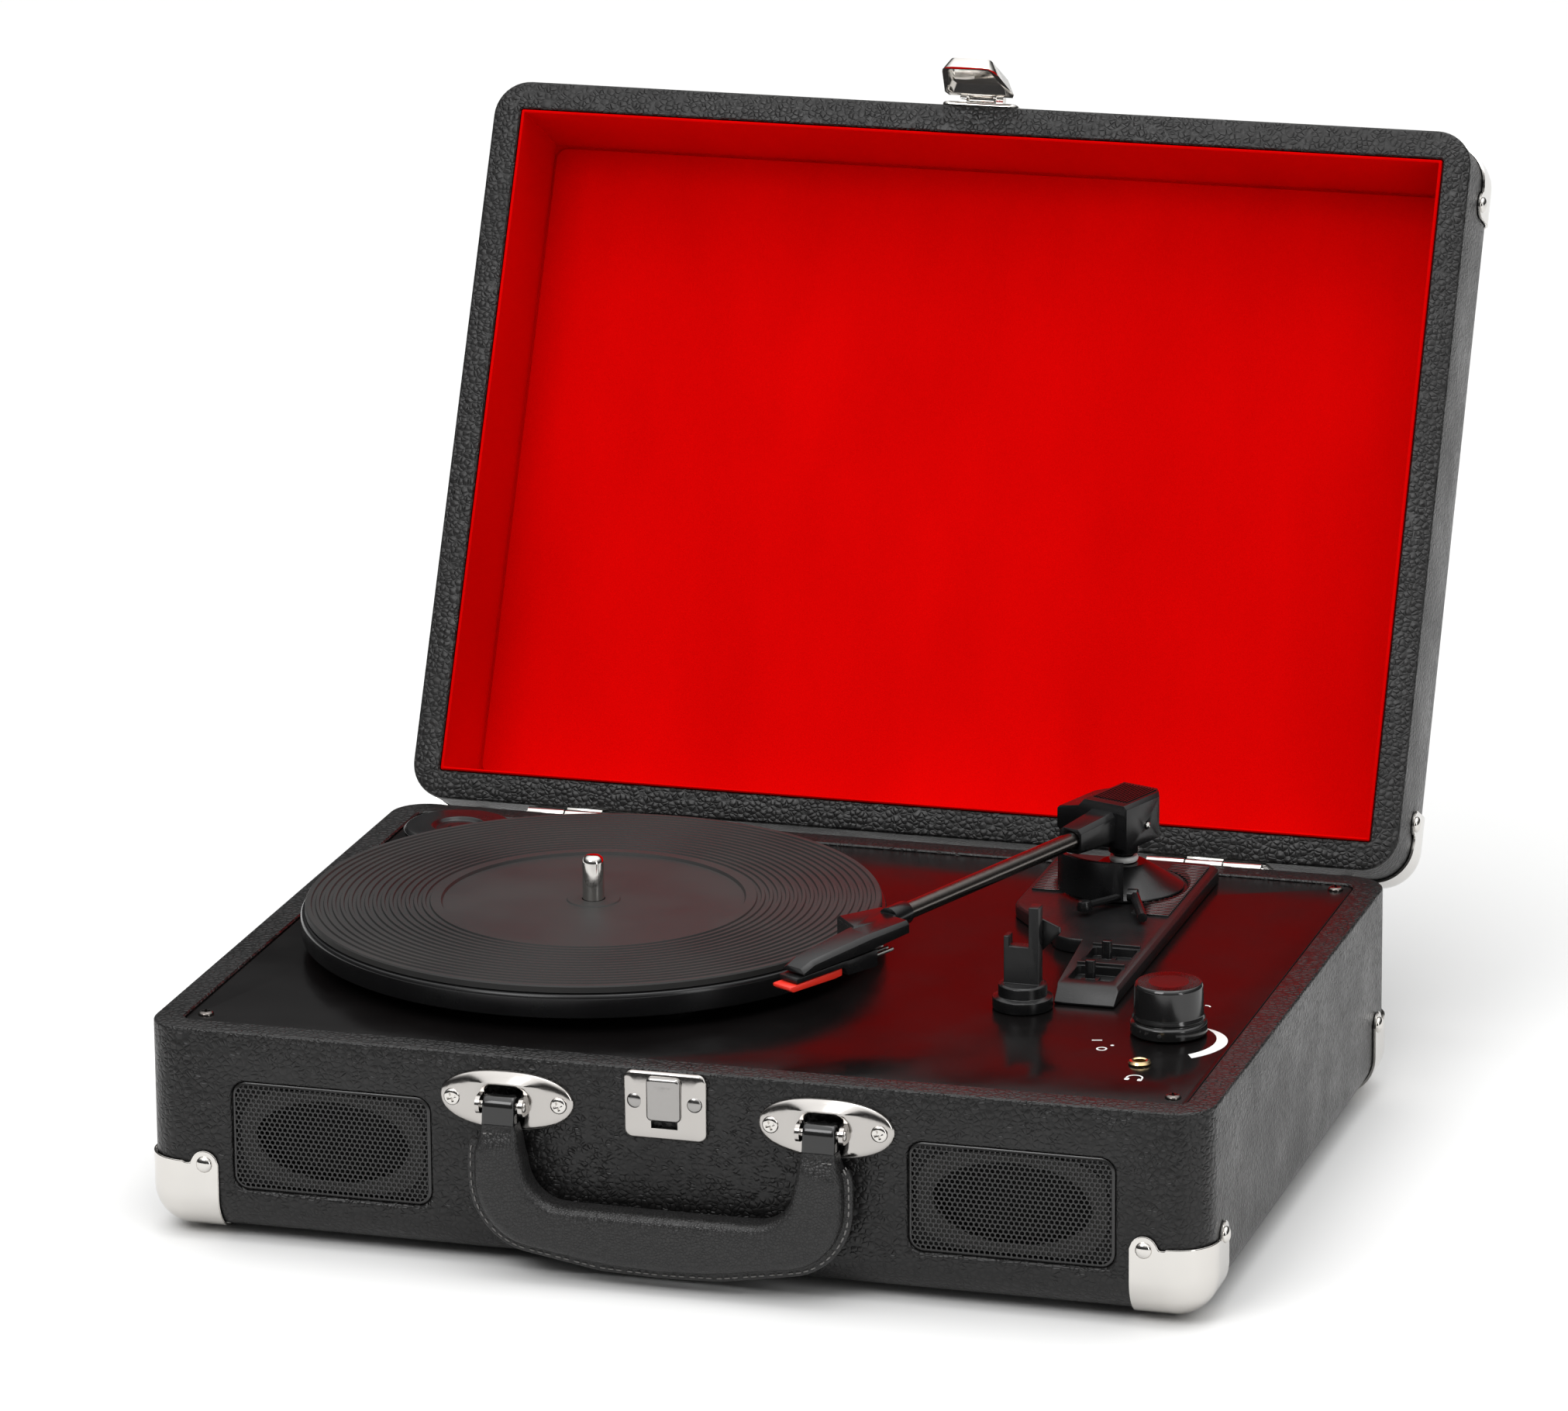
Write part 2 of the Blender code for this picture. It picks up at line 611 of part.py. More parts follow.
def build_lift(frame):
    """The curved lift bar, concentric with the arm's pivot, and the lever that raises it."""
    centre = (ARM_X, ARM_Y)
    start, end, steps = 214, 284, 10
    outline = arc(centre, LIFT_RADIUS + 1 * MM, start, end, steps)
    outline += arc(centre, LIFT_RADIUS - 1 * MM, end, start, steps)
    low = LIFT_TOP - LIFT_HEIGHT
    bar = piece("lift_bar", prism(outline, low, LIFT_TOP), "black_plastic", frame)
    root = polar(centre, LIFT_RADIUS + 0.2 * MM, end - 4)
    tip = Vector((90.3 * MM, 178.5 * MM, low + 1.6 * MM))
    finger = rod((root[0], root[1], low + 1.6 * MM), tip, 1.3 * MM, 8)
    fuse(bar, finger)
    button = turned([(2.6 * MM, 0), (2.8 * MM, 1 * MM), (2.2 * MM, 3 * MM), (1 * MM, 3.4 * MM)], 14)
    fuse(bar, button, location=(tip.x, tip.y, low + 0.2 * MM))

    hub_x, hub_y, hub_z = LEVER_HUB
    hub = rod((hub_x - 1.6 * MM, hub_y, hub_z), (hub_x + 1.6 * MM, hub_y, hub_z), 2.2 * MM, 14)
    lever = piece("cue_lever", hub, "black_plastic", frame)
    grip_end = Vector((hub_x + 8 * MM, hub_y - 18.5 * MM, hub_z - 1.6 * MM))
    fuse(lever, rod((hub_x + 0.6 * MM, hub_y, hub_z), grip_end, 1.7 * MM, 10))


def build_arm(frame):
    """The arm points along -Y of its own axes, which the swing empty turns to its heading."""
    swing = empty("arm_swing_axis", frame, (ARM_X, ARM_Y, ARM_AXIS_Z), (0, 0, ARM_HEADING))
    neck_low = ARM_PLATE_TOP + GAP + DOME_HEIGHT + 2.6 * MM - ARM_AXIS_Z
    post = [
        (POST_RADIUS, DECK_BOTTOM - 8 * MM - ARM_AXIS_Z),
        (POST_RADIUS, neck_low),
        (5.2 * MM, neck_low + 1 * MM),
        (5.2 * MM, -6.2 * MM),
    ]
    yoke = piece("arm_yoke", turned(post, 18), "black_plastic", swing)
    cheek = block((-6.4 * MM, -4 * MM, -7 * MM), (6.4 * MM, 4 * MM, 3.4 * MM))
    fuse(yoke, cheek)
    cut(yoke, block((-4.2 * MM, -6 * MM, -4 * MM), (4.2 * MM, 6 * MM, 6 * MM)))
    cut(yoke, rod((-12 * MM, 0, 0), (12 * MM, 0, 0), 1.5 * MM, 10))

    pin = rod((HOUSING_LEFT - 0.6 * MM, 0, 0), (HOUSING_RIGHT + 0.6 * MM, 0, 0), 1.2 * MM, 12)
    piece("arm_pivot_pin", pin, "chrome", swing)

    lift = empty("arm_lift_axis", swing)
    left, right, low, high, step = HOUSING_LEFT, HOUSING_RIGHT, -6 * MM, 9.4 * MM, 5.4 * MM
    section = [(left + 4 * MM, low), (right, low), (right, high - 1.2 * MM), (right - 1.2 * MM, high)]
    section += [(-7.6 * MM, high), (-10 * MM, high - 2.6 * MM), (left + 1 * MM, step), (left, step - 1 * MM)]
    section.append((left, low + 4 * MM))
    front, back = -12.4 * MM, 11.5 * MM
    housing = piece("arm_housing", prism(section, front, back, "y"), "black_plastic", lift)
    for edge, way in ((left, -1), (right, 1)):
        corner = [(edge - way * 4.5 * MM, back + 1 * MM), (edge + way * 2 * MM, back - 6.5 * MM)]
        corner.append((edge + way * 2 * MM, back + 1 * MM))
        cut(housing, prism(corner, -9 * MM, 12 * MM))
    cut(housing, block((-7.4 * MM, -9 * MM, -12 * MM), (right - 1.8 * MM, 9 * MM, 5.4 * MM)))
    cut(housing, block((left + 2 * MM, -7 * MM, -12 * MM), (-8.6 * MM, 6 * MM, 3 * MM)))
    cut(housing, rod((left - 5 * MM, 0, 0), (right + 5 * MM, 0, 0), 1.5 * MM, 12))
    weight = block((left + 2.3 * MM, -6.7 * MM, -1.4 * MM), (-8.9 * MM, 5.7 * MM, 2.7 * MM))
    heavy = piece("arm_counterweight", weight, "chrome", lift)
    cut(heavy, block((left, -2 * MM, -3 * MM), (-8 * MM, 2 * MM, 1.6 * MM)))
    neck = []
    for along, half, low, high in ((-9.4, 5.4, -4.6, 7), (-16, 5, -4.4, 6), (-TUBE_START / MM, 4.4, -3.6, 4.9)):
        section = rounded_rectangle(2 * half * MM, (high - low) * MM, 1.4 * MM, 1)
        middle = (low + high) / 2 * MM
        neck.append([Vector((u - 0.6 * MM, along * MM, v + middle)) for u, v in section])
    fuse(housing, loft(neck))
    rise, root = TUBE_RISE, -TUBE_START + 12 * MM
    cut(housing, rod((0, -TUBE_START - 2 * MM, rise), (0, root, rise), TUBE_RADIUS + GAP, 16))

    tube = rod((0, root - 1 * MM, rise), (0, -TUBE_END - 6 * MM, rise), TUBE_RADIUS, 16)
    piece("arm_tube", tube, "arm_tube", lift)

    head = empty("head_axis", lift, (0, -TUBE_END, rise), (0, 0, HEAD_OFFSET))
    build_head(head)


def build_head(head):
    """Headshell, cartridge and stylus. Their long axis is -Y of the head empty."""
    outline = [(-5.4, -5), (4.6, -6), (6.5, -16), (4, -27), (-8.6, -22)]
    outline = [(x * MM, y * MM) for x, y in outline]
    shell = piece("headshell", prism(outline, -4.2 * MM, 2 * MM, soften=0.8 * MM), "black_plastic", head)
    fuse(shell, rod((0, 0, 0), (0, -9 * MM, 0), 3.9 * MM, 16), rotation=(0, 0, -HEAD_OFFSET))
    rings = []
    for y, half_low, half_high, low, high in (
        (-11, 6.4, 5.2, -1.4, 2.6),
        (-28, 6.4, 4.6, -3.4, 1.4),
        (-52, 5.2, 3.4, -5.4, -2.0),
        (-56.5, 4.8, 3, -5.8, -4.0),
    ):
        corners_xz = [(-half_low, low), (half_low, low), (half_low, high - 1.2), (half_high, high)]
        corners_xz += [(-half_high, high), (-half_low, high - 1.2)]
        rings.append([Vector((CARTRIDGE_X + u * MM, y * MM, v * MM)) for u, v in corners_xz])
    fuse(shell, loft(rings))
    bore = rod((0, 20 * MM, 0), (0, -6.5 * MM, 0), TUBE_RADIUS + GAP, 16)
    cut(shell, bore, rotation=(0, 0, -HEAD_OFFSET))
    rings = []
    for y, half, low, high in (
        (-24, 5, -10, -4.4),
        (-37, 5, -10, -5.2),
        (-38.5, 4.6, -7.2, -5.3),
        (-54, 4.2, -8, -6.3),
        (-59, 4, -8.2, -6.6),
    ):
        corners_xz = [(-half, low), (half, low), (half, high), (-half, high)]
        rings.append([Vector((CARTRIDGE_X + u * MM, y * MM, v * MM)) for u, v in corners_xz])
    cartridge = piece("cartridge", loft(rings), "black_plastic", head)
    for along in (-3.6, -1.2, 1.2, 3.6):
        start = Vector((CARTRIDGE_X + along * MM, -25 * MM, -7 * MM))
        fuse(cartridge, rod(start, start + Vector((0, 8 * MM, 0.6 * MM)), 0.5 * MM, 6))
    side = [(-38.8, -7.6), (-38.8, -10), (-42, -10.4), (-60.5, -10.8), (-62, -9.8), (-62, -8.8)]
    side.append((-54.4, -8.4))
    side = [(y * MM, z * MM) for y, z in side]
    low, high = CARTRIDGE_X - 4 * MM, CARTRIDGE_X + 4 * MM
    piece("stylus", prism(side, low, high, "x"), "stylus_red", head)


def build_rest(frame):
    base = [
        (9.9 * MM, DECK_Z + GAP),
        (9.9 * MM, DECK_Z + 4 * MM),
        (8 * MM, DECK_Z + 4.6 * MM),
        (8 * MM, DECK_Z + 8 * MM),
        (7.2 * MM, DECK_Z + 8.6 * MM),
    ]
    rest = piece("arm_rest", turned(base, 24), "black_plastic", frame, (REST_X, REST_Y, 0))
    outline = [
        (-5.7 * MM, DECK_Z + 7 * MM),
        (6 * MM, DECK_Z + 7 * MM),
        (6 * MM, REST_SADDLE + 13.6 * MM),
        (2.6 * MM, REST_SADDLE + 13.6 * MM),
        (2.6 * MM, REST_SADDLE),
        (-4 * MM, REST_SADDLE),
        (-4 * MM, REST_SADDLE + 3.5 * MM),
        (-5.7 * MM, REST_SADDLE + 3.5 * MM),
    ]
    outline = [(x + REST_X, z) for x, z in outline]
    fuse(rest, prism(outline, REST_Y - 2.6 * MM, REST_Y + 2.6 * MM, "y"))

    pivot = empty("clip_axis", frame, (REST_X + 4.2 * MM, REST_Y + 4 * MM, REST_SADDLE - 0.5 * MM))
    clip = [(-1.4, -2), (1.4, -2), (7.5, 4.5), (7, 6.5), (-1, 10), (-1.6, 8)]
    clip = [(x * MM, z * MM) for x, z in clip]
    piece("arm_clip", prism(clip, -1.0 * MM, 1.2 * MM, "y"), "black_plastic", pivot)


# ---------------------------------------------------------------- controls and electronics


def build_controls(frame):
    high = DECK_Z + KNOB_HEIGHT
    low = DECK_Z + 0.8 * MM
    knob = [
        (KNOB_SKIRT, low),
        (KNOB_SKIRT - 0.2 * MM, low + 3.6 * MM),
        (KNOB_RADIUS + 0.7 * MM, low + 5.2 * MM),
        (KNOB_RADIUS, low + 6 * MM),
        (KNOB_RADIUS - 0.3 * MM, high - 0.8 * MM),
        (KNOB_RADIUS - 1 * MM, high),
    ]
    made = piece("volume_knob", turned(knob, 32), "gloss_black", frame, (KNOB_X, KNOB_Y, 0))
    shaft_top = DECK_Z + 10 * MM
    cut(made, prism(circle(3.3 * MM, 16, (KNOB_X, KNOB_Y)), DECK_Z - 5 * MM, shaft_top + GAP))

    pot = [
        (8.5 * MM, DECK_BOTTOM - 12 * MM),
        (8.5 * MM, DECK_BOTTOM - GAP),
        (3.8 * MM, DECK_BOTTOM - GAP),
        (3.8 * MM, DECK_Z + 0.4 * MM),
        (3 * MM, DECK_Z + 0.4 * MM),
        (3 * MM, shaft_top),
    ]
    piece("volume_potentiometer", turned(pot, 16), "chrome", frame, (KNOB_X, KNOB_Y, 0))

    jack_low = DECK_BOTTOM - 12 * MM
    jack = [
        (1.9 * MM, jack_low),
        (5 * MM, jack_low),
        (5 * MM, DECK_BOTTOM - GAP),
        (3 * MM, DECK_BOTTOM - GAP),
        (3 * MM, DECK_Z + 0.2 * MM),
        (3.6 * MM, DECK_Z + 0.2 * MM),
        (3.3 * MM, DECK_Z + 1.2 * MM),
        (1.9 * MM, DECK_Z + 1.2 * MM),
    ]
    piece("headphone_jack", turned(jack, 16, bore=True), "gold", frame, (JACK_X, JACK_Y, 0))

    for name, y in (("speed_slider", SPEED_SLOT_Y), ("auto_stop_slider", STOP_SLOT_Y)):
        foot_low = DECK_Z + 2 * MM + GAP
        flat = rounded_rectangle(6 * MM, 6 * MM, 0.8 * MM, 1)
        axis = (SLOT_X - 1.5 * MM, y, 0)
        slider = piece(name, prism(flat, foot_low, foot_low + 1 * MM), "black_plastic", frame, axis)
        tab = moved(rounded_rectangle(3.2 * MM, 2.6 * MM, 0.5 * MM, 1), axis[0], y)
        fuse(slider, prism(tab, DECK_BOTTOM - 1 * MM, ARM_PLATE_TOP + 4.5 * MM))


def build_electronics(frame):
    inner_y = RIM_WIDTH + LEDGE_WIDTH
    for name, side in (("left", -1), ("right", 1)):
        mesh = moved(grille_outline(GAP), side * GRILLE_X, GRILLE_Z)
        plate = prism(mesh, GRILLE_RECESS + 1.2 * MM, GRILLE_RECESS, "y")
        piece("speaker_grille_" + name, plate, "grille_metal", frame)
        flange = moved(rounded_rectangle(74 * MM, 42 * MM, 5 * MM, 3), side * GRILLE_X, GRILLE_Z)
        speaker = piece(
            "speaker_" + name, prism(flange, inner_y + GAP, inner_y + 2.5 * MM, "y"), "black_plastic", frame
        )
        basket = []
        for y, width, height in ((2, 64, 32), (12, 40, 24), (13, 30, 30), (22, 30, 30)):
            section = moved(ellipse(width * MM, height * MM, 16), side * GRILLE_X, GRILLE_Z)
            basket.append([Vector((x, inner_y + y * MM, z)) for x, z in section])
        fuse(speaker, loft(basket))
        cone = []
        for y, width, height in ((-1, 60, 30), (8, 16, 12)):
            section = moved(ellipse(width * MM, height * MM, 16), side * GRILLE_X, GRILLE_Z)
            cone.append([Vector((x, inner_y + y * MM, z)) for x, z in section])
        cut(speaker, loft(cone))

    board_y = CASE_DEPTH - inner_y - 60 * MM
    board_z = FOOT_HEIGHT + FLOOR_THICKNESS + 8 * MM
    board = piece(
        "amplifier_board",
        block((50 * MM, board_y, board_z), (142 * MM, board_y + 48 * MM, board_z + 1.6 * MM)),
        "board_green",
        frame,
    )
    for x, y, radius, height in ((66, 12, 5, 14), (84, 34, 4, 11), (104, 14, 6, 9), (124, 34, 4, 12)):
        can = prism(circle(radius * MM, 12, (x * MM, board_y + y * MM)), board_z, board_z + height * MM)
        fuse(board, can)
    standoffs = block((56 * MM, board_y + 20 * MM, board_z - 7.7 * MM), (60 * MM, board_y + 24 * MM, board_z))
    fuse(board, standoffs)

    face_y = CASE_DEPTH - 3 * MM
    outline = rounded_rectangle(SOCKET_WIDTH - 2 * GAP, SOCKET_HEIGHT - 2 * GAP, 1.8 * MM, 2)
    sockets = piece(
        "rear_socket_plate",
        prism(moved(outline, SOCKET_X, SOCKET_Z), face_y - 2 * MM, face_y, "y"),
        "black_plastic",
        frame,
    )
    for x in (-20 * MM, -4 * MM):
        along = Vector((SOCKET_X + x, 0, SOCKET_Z))
        start, end = along + Vector((0, face_y - 8 * MM, 0)), along + Vector((0, face_y + 7 * MM, 0))
        fuse(sockets, rod(start, end, 4 * MM, 16))
        cut(sockets, rod(start + Vector((0, 9 * MM, 0)), end + Vector((0, 2 * MM, 0)), 1.6 * MM, 10))
    inlet = Vector((SOCKET_X + 18 * MM, 0, SOCKET_Z))
    start, end = inlet + Vector((0, face_y - 11 * MM, 0)), inlet + Vector((0, face_y + 1 * MM, 0))
    fuse(sockets, rod(start, end, 5 * MM, 16))
    cut(sockets, rod(start + Vector((0, 3 * MM, 0)), end + Vector((0, 2 * MM, 0)), 2.8 * MM, 12))
    fuse(sockets, rod(start + Vector((0, 1 * MM, 0)), end - Vector((0, 1 * MM, 0)), 1 * MM, 8))


# ---------------------------------------------------------------- handle and latch


def handle_outline(inset):
    """The handle's closed outline about the pins' axis, its outer edge drawn in by an inset.

    The flange, which has no inset, keeps its other edges inside the padded body.
    """
    drop, half, sink = HANDLE_DROP - inset, HANDLE_HALF - inset, FLANGE_WIDTH - inset
    corner, bow = 22 * MM, 4 * MM
    outer = [(0, -drop), (20 * MM, -drop + 0.6 * MM)]
    outer += arc((half - corner, -drop + bow + corner), corner, -75, 0, 6)
    shoulder = -9 * MM - 0.4 * sink
    outer += [(half, shoulder - 3 * MM), (BRACKET_X + TONGUE_WIDTH / 2, shoulder)]
    inner_half = BRACKET_X - TONGUE_WIDTH / 2 - 0.6 * MM + sink
    corner = 14 * MM
    centre = (inner_half - 1.6 * MM - corner, -HANDLE_DROP + HANDLE_GRIP - sink + corner)
    inner = [(inner_half, shoulder)] + arc(centre, corner, 0, -80, 4)
    half_outline = outer + inner
    return half_outline + [(-x, z) for x, z in reversed(half_outline[1:])]


def build_handle(frame):
    pins = empty("handle_axis", frame, (0, HANDLE_PIN_Y, BRACKET_Z))
    back, front = HANDLE_DEPTH / 2 - 1.2 * MM, -HANDLE_DEPTH / 2 - 1.2 * MM
    body = prism(handle_outline(FLANGE_WIDTH), back, front, "y")
    handle = piece("handle", body, "soft_black", pins, sharp=50)
    bevel = handle.modifiers.new("softened", "BEVEL")
    bevel.width = 1.8 * MM
    bevel.segments = 1
    bevel.limit_method = "ANGLE"
    bevel.angle_limit = radians(50)
    flange = prism(handle_outline(0), FLANGE_Y + FLANGE_THICKNESS / 2, FLANGE_Y - FLANGE_THICKNESS / 2, "y")
    fuse(handle, flange)
    for side in (-1, 1):
        x = side * BRACKET_X
        half_width = TONGUE_WIDTH / 2 - 0.8 * MM
        tongue = rounded_rectangle(7 * MM, 17 * MM, 3.4 * MM, 3)
        fuse(handle, prism(moved(tongue, 0, -5 * MM), x - half_width, x + half_width, "x"))
        cut(handle, rod((x - 9 * MM, 0, 0), (x + 9 * MM, 0, 0), PIN_RADIUS + GAP, 12))

    for name, side in (("left", -1), ("right", 1)):
        x = side * BRACKET_X
        rings = []
        for y, shrink in ((-GAP, 0), (-1.2 * MM, 0), (-2.2 * MM, 2.4 * MM)):
            section = ellipse(BRACKET_WIDTH - 2 * shrink, BRACKET_HEIGHT - 2 * shrink, 24)
            rings.append([Vector((u + x, y, v + BRACKET_Z)) for u, v in section])
        bracket = piece("handle_bracket_" + name, loft(rings), "chrome", frame)
        window = moved(rounded_rectangle(12.6 * MM, 15 * MM, 3 * MM, 2), x, BRACKET_Z - 1.4 * MM)
        cut(bracket, prism(window, 2 * MM, -6 * MM, "y"))
        pin_y = HANDLE_PIN_Y
        for ear in (-1, 1):
            ear_x = x + ear * 7.2 * MM
            section = arc((pin_y, BRACKET_Z), 3 * MM, 90, 270, 6)
            section = section + [(-1 * MM, BRACKET_Z - 3 * MM), (-1 * MM, BRACKET_Z + 3 * MM)]
            fuse(bracket, prism(section, ear_x - 0.9 * MM, ear_x + 0.9 * MM, "x"))
        fuse(bracket, rod((x - 8.8 * MM, pin_y, BRACKET_Z), (x + 8.8 * MM, pin_y, BRACKET_Z), PIN_RADIUS, 12))


def build_strike(frame):
    top = RIM_Z - 0.6 * MM
    middle = top - STRIKE_HEIGHT / 2
    outline = moved(rounded_rectangle(STRIKE_WIDTH, STRIKE_HEIGHT, 2.5 * MM, 3), 0, middle)
    strike = piece("latch_strike", prism(outline, -GAP, -GAP - PLATE_THICKNESS, "y"), "chrome", frame)
    catch = moved(rounded_rectangle(CATCH_WIDTH, CATCH_HEIGHT, 1 * MM, 1), 0, CATCH_Z)
    fuse(strike, prism(catch, -GAP - 0.5 * MM, -4.2 * MM, "y", soften=1.2 * MM))
    for side in (-1, 1):
        centre = (side * 10.2 * MM, middle + 1.5 * MM)
        fuse(strike, rivet(centre, -GAP - PLATE_THICKNESS))


def rivet(centre, y):
    """A domed rivet head standing out of a plate that faces the front."""
    rings = []
    for out, radius in ((-0.6, 2.6), (0.5, 2.4), (1.4, 1.2)):
        section = circle(radius * MM, 12, centre)
        rings.append([Vector((u, y - out * MM, v)) for u, v in section])
    return loft(rings)


# ---------------------------------------------------------------- lid


def lid_point(x, y, z):
    """A point of the closed lid, in case coordinates, as seen from the hinge empty."""
    return Vector((x, y - (CASE_DEPTH + HINGE_BEHIND), z - HINGE_Z))


def build_lid(frame):
    hinge = empty("lid_hinge_axis", frame, (0, CASE_DEPTH + HINGE_BEHIND, HINGE_Z), (-LID_OPEN, 0, 0))
    top_z = RIM_Z + LID_GAP + LID_HEIGHT
    wall = RIM_WIDTH
    rings = shell_rings(
        LID_HEIGHT,
        [(wall, wall, LID_HEIGHT, 0.8 * MM), (wall, wall, LID_TOP_THICKNESS, 0.8 * MM)],
    )
    place = lid_point(0, 0, top_z)
    piece("lid_shell", tray(rings, -1), "leatherette", hinge, place)
    build_lining(hinge)
    build_lid_latch(hinge)
    return hinge


def build_lining(hinge):
    """A folded tray: four strips that slope inwards and a flat panel."""
    rim_z = RIM_Z + LID_GAP
    outside = RIM_WIDTH + GAP
    thick = LINING_THICKNESS
    panel_z = rim_z + LINING_DEPTH
    side, end = LINING_SIDE_SLOPE, LINING_END_SLOPE
    levels = [
        (outside + side, outside + end, panel_z + thick),
        (outside, outside, rim_z + 0.2 * MM),
        (outside + thick, outside + thick, rim_z + 0.2 * MM),
        (outside + thick + side, outside + thick + end, panel_z),
    ]
    rings = []
    for inset_x, inset_y, z in levels:
        outline = rounded_rectangle(CASE_WIDTH - 2 * inset_x, CASE_DEPTH - 2 * inset_y, 0.8 * MM, 1)
        rings.append([lid_point(x, y + CASE_DEPTH / 2, z) for x, y in outline])
    piece("lid_lining", loft(rings), "red_felt", hinge)


def build_lid_latch(hinge):
    rim_z = RIM_Z + LID_GAP
    low, high = rim_z + 0.6 * MM, rim_z + 24 * MM
    corners_xz = rounded_rectangle(STRIKE_WIDTH, high - low, 2.5 * MM, 3)
    outline = [(x, z + (low + high) / 2) for x, z in corners_xz]
    place = lid_point(0, 0, 0)
    plate = piece(
        "latch_plate", prism(outline, -GAP, -GAP - PLATE_THICKNESS, "y"), "chrome", hinge, place
    )
    pin_y, pin_z = -HASP_PIN_OUT, rim_z + HASP_PIN_UP
    for side in (-1, 1):
        centre = (side * 8.5 * MM, rim_z + 18.5 * MM)
        fuse(plate, rivet(centre, -GAP - PLATE_THICKNESS), location=place)
        ear_x = side * 6.6 * MM
        section = arc((pin_y, pin_z), 2.1 * MM, 90, 270, 6)
        section = section + [(-1 * MM, pin_z - 2.1 * MM), (-1 * MM, pin_z + 2.1 * MM)]
        fuse(plate, prism(section, ear_x - 1.2 * MM, ear_x + 1.2 * MM, "x"), location=place)
    fuse(plate, rod((-7 * MM, pin_y, pin_z), (7 * MM, pin_y, pin_z), 0.9 * MM, 10), location=place)

    pivot = empty("hasp_axis", hinge, lid_point(0, pin_y, pin_z), (-HASP_AJAR, 0, 0))
    inside, outside, tip = 0.5 * MM, -4.1 * MM, -HASP_LENGTH
    root = -3.4 * MM
    rings = []
    for y, inset in ((outside, 2.4 * MM), (inside, 0), (inside, 2 * MM), (outside + 1.4 * MM, 3 * MM)):
        wide, narrow, corner = HASP_WIDTH / 2 - inset, HASP_WIDTH / 2 - 2.6 * MM - inset, 4.5 * MM - inset
        low, high = tip + inset, root - inset
        right = [(wide - 1 * MM, high), (wide, high - 2.5 * MM), (narrow, low + corner)]
        right += arc((narrow - corner, low + corner), corner, -30, -90, 2)
        outline = right + [(-x, z) for x, z in reversed(right)]
        rings.append([Vector((x, y, z)) for x, z in outline])
    hasp = piece("latch_hasp", loft(rings), "chrome", pivot)
    web = block((-4.4 * MM, -2.4 * MM, root - 1.2 * MM), (4.4 * MM, 0.6 * MM, 0))
    fuse(hasp, web)
    fuse(hasp, rod((-4.4 * MM, 0, 0), (4.4 * MM, 0, 0), 2 * MM, 12))
    cut(hasp, rod((-8 * MM, 0, 0), (8 * MM, 0, 0), 0.9 * MM + GAP, 10))


def build_hinges(frame, lid):
    """Butt hinges. The base leaf carries the pin and the outer knuckles, the lid leaf the middle one."""
    pin_y, pin_z = CASE_DEPTH + HINGE_BEHIND, HINGE_Z
    half = HINGE_LENGTH / 2
    knuckle = HINGE_LENGTH / 3
    for name, side in (("left", -1), ("right", 1)):
        x = side * HINGE_X
        leaf_low = pin_z - 20 * MM
        leaf = block(
            (x - half, CASE_DEPTH + GAP, leaf_low),
            (x + half, CASE_DEPTH + GAP + LEAF_THICKNESS, pin_z - 0.4 * MM),
        )
        base_leaf = piece("hinge_base_leaf_" + name, leaf, "chrome", frame)
        clear = BARREL_RADIUS + GAP
        notch_low = pin_z - clear
        cut(
            base_leaf,
            block(
                (x - knuckle / 2 - GAP, CASE_DEPTH, notch_low),
                (x + knuckle / 2 + GAP, CASE_DEPTH + 8 * MM, pin_z + 4 * MM),
            ),
        )
        for end in (-1, 1):
            start = x + end * (knuckle / 2 + GAP)
            fuse(base_leaf, rod((start, pin_y, pin_z), (x + end * half, pin_y, pin_z), BARREL_RADIUS, 14))
        fuse(base_leaf, rod((x - half - 0.8 * MM, pin_y, pin_z), (x + half + 0.8 * MM, pin_y, pin_z), 1 * MM, 10))

        leaf_top = RIM_Z + LID_GAP + 20 * MM
        low_corner = lid_point(x - half, CASE_DEPTH + GAP, RIM_Z + LID_GAP + 2.6 * MM)
        high_corner = lid_point(x + half, CASE_DEPTH + GAP + LEAF_THICKNESS, leaf_top)
        lid_leaf = piece("hinge_lid_leaf_" + name, block(low_corner, high_corner), "chrome", lid)
        tab_low = lid_point(x - knuckle / 2 + GAP, CASE_DEPTH + GAP, HINGE_Z)
        tab_high = lid_point(x + knuckle / 2 - GAP, CASE_DEPTH + GAP + LEAF_THICKNESS, RIM_Z + LID_GAP + 4 * MM)
        fuse(lid_leaf, block(tab_low, tab_high))
        barrel = rod(
            (x - knuckle / 2 + GAP, 0, 0), (x + knuckle / 2 - GAP, 0, 0), BARREL_RADIUS, 14
        )
        fuse(lid_leaf, barrel)
        cut(lid_leaf, rod((x - half, 0, 0), (x + half, 0, 0), 1 * MM + GAP, 12))


# ---------------------------------------------------------------- corner protectors


def protector_grid(clearance):
    """Rows of points over one rounded bottom corner, from the wall down and under, at a clearance from the case."""
    radius = CORNER_RADIUS + clearance
    reach = PROTECTOR_REACH
    rows = []
    levels = [(0, PROTECTOR_REACH), (0, EDGE_RADIUS + 5 * MM)]
    for step in range(5):
        angle = radians(90 * step / 4)
        inset = (EDGE_RADIUS + clearance) * (1 - cos(angle))
        levels.append((inset, EDGE_RADIUS * (1 - sin(angle)) - clearance * sin(angle)))
    for inset, z in levels:
        turn = max(radius - inset, 0.2 * MM)
        row = [(reach, inset - clearance)]
        row += [(x, y) for x, y in arc((inset + turn - clearance, inset + turn - clearance), turn, 270, 180, 4)]
        row += [(inset - clearance, reach)]
        rows.append([Vector((x, y, z)) for x, y in row])
    return rows


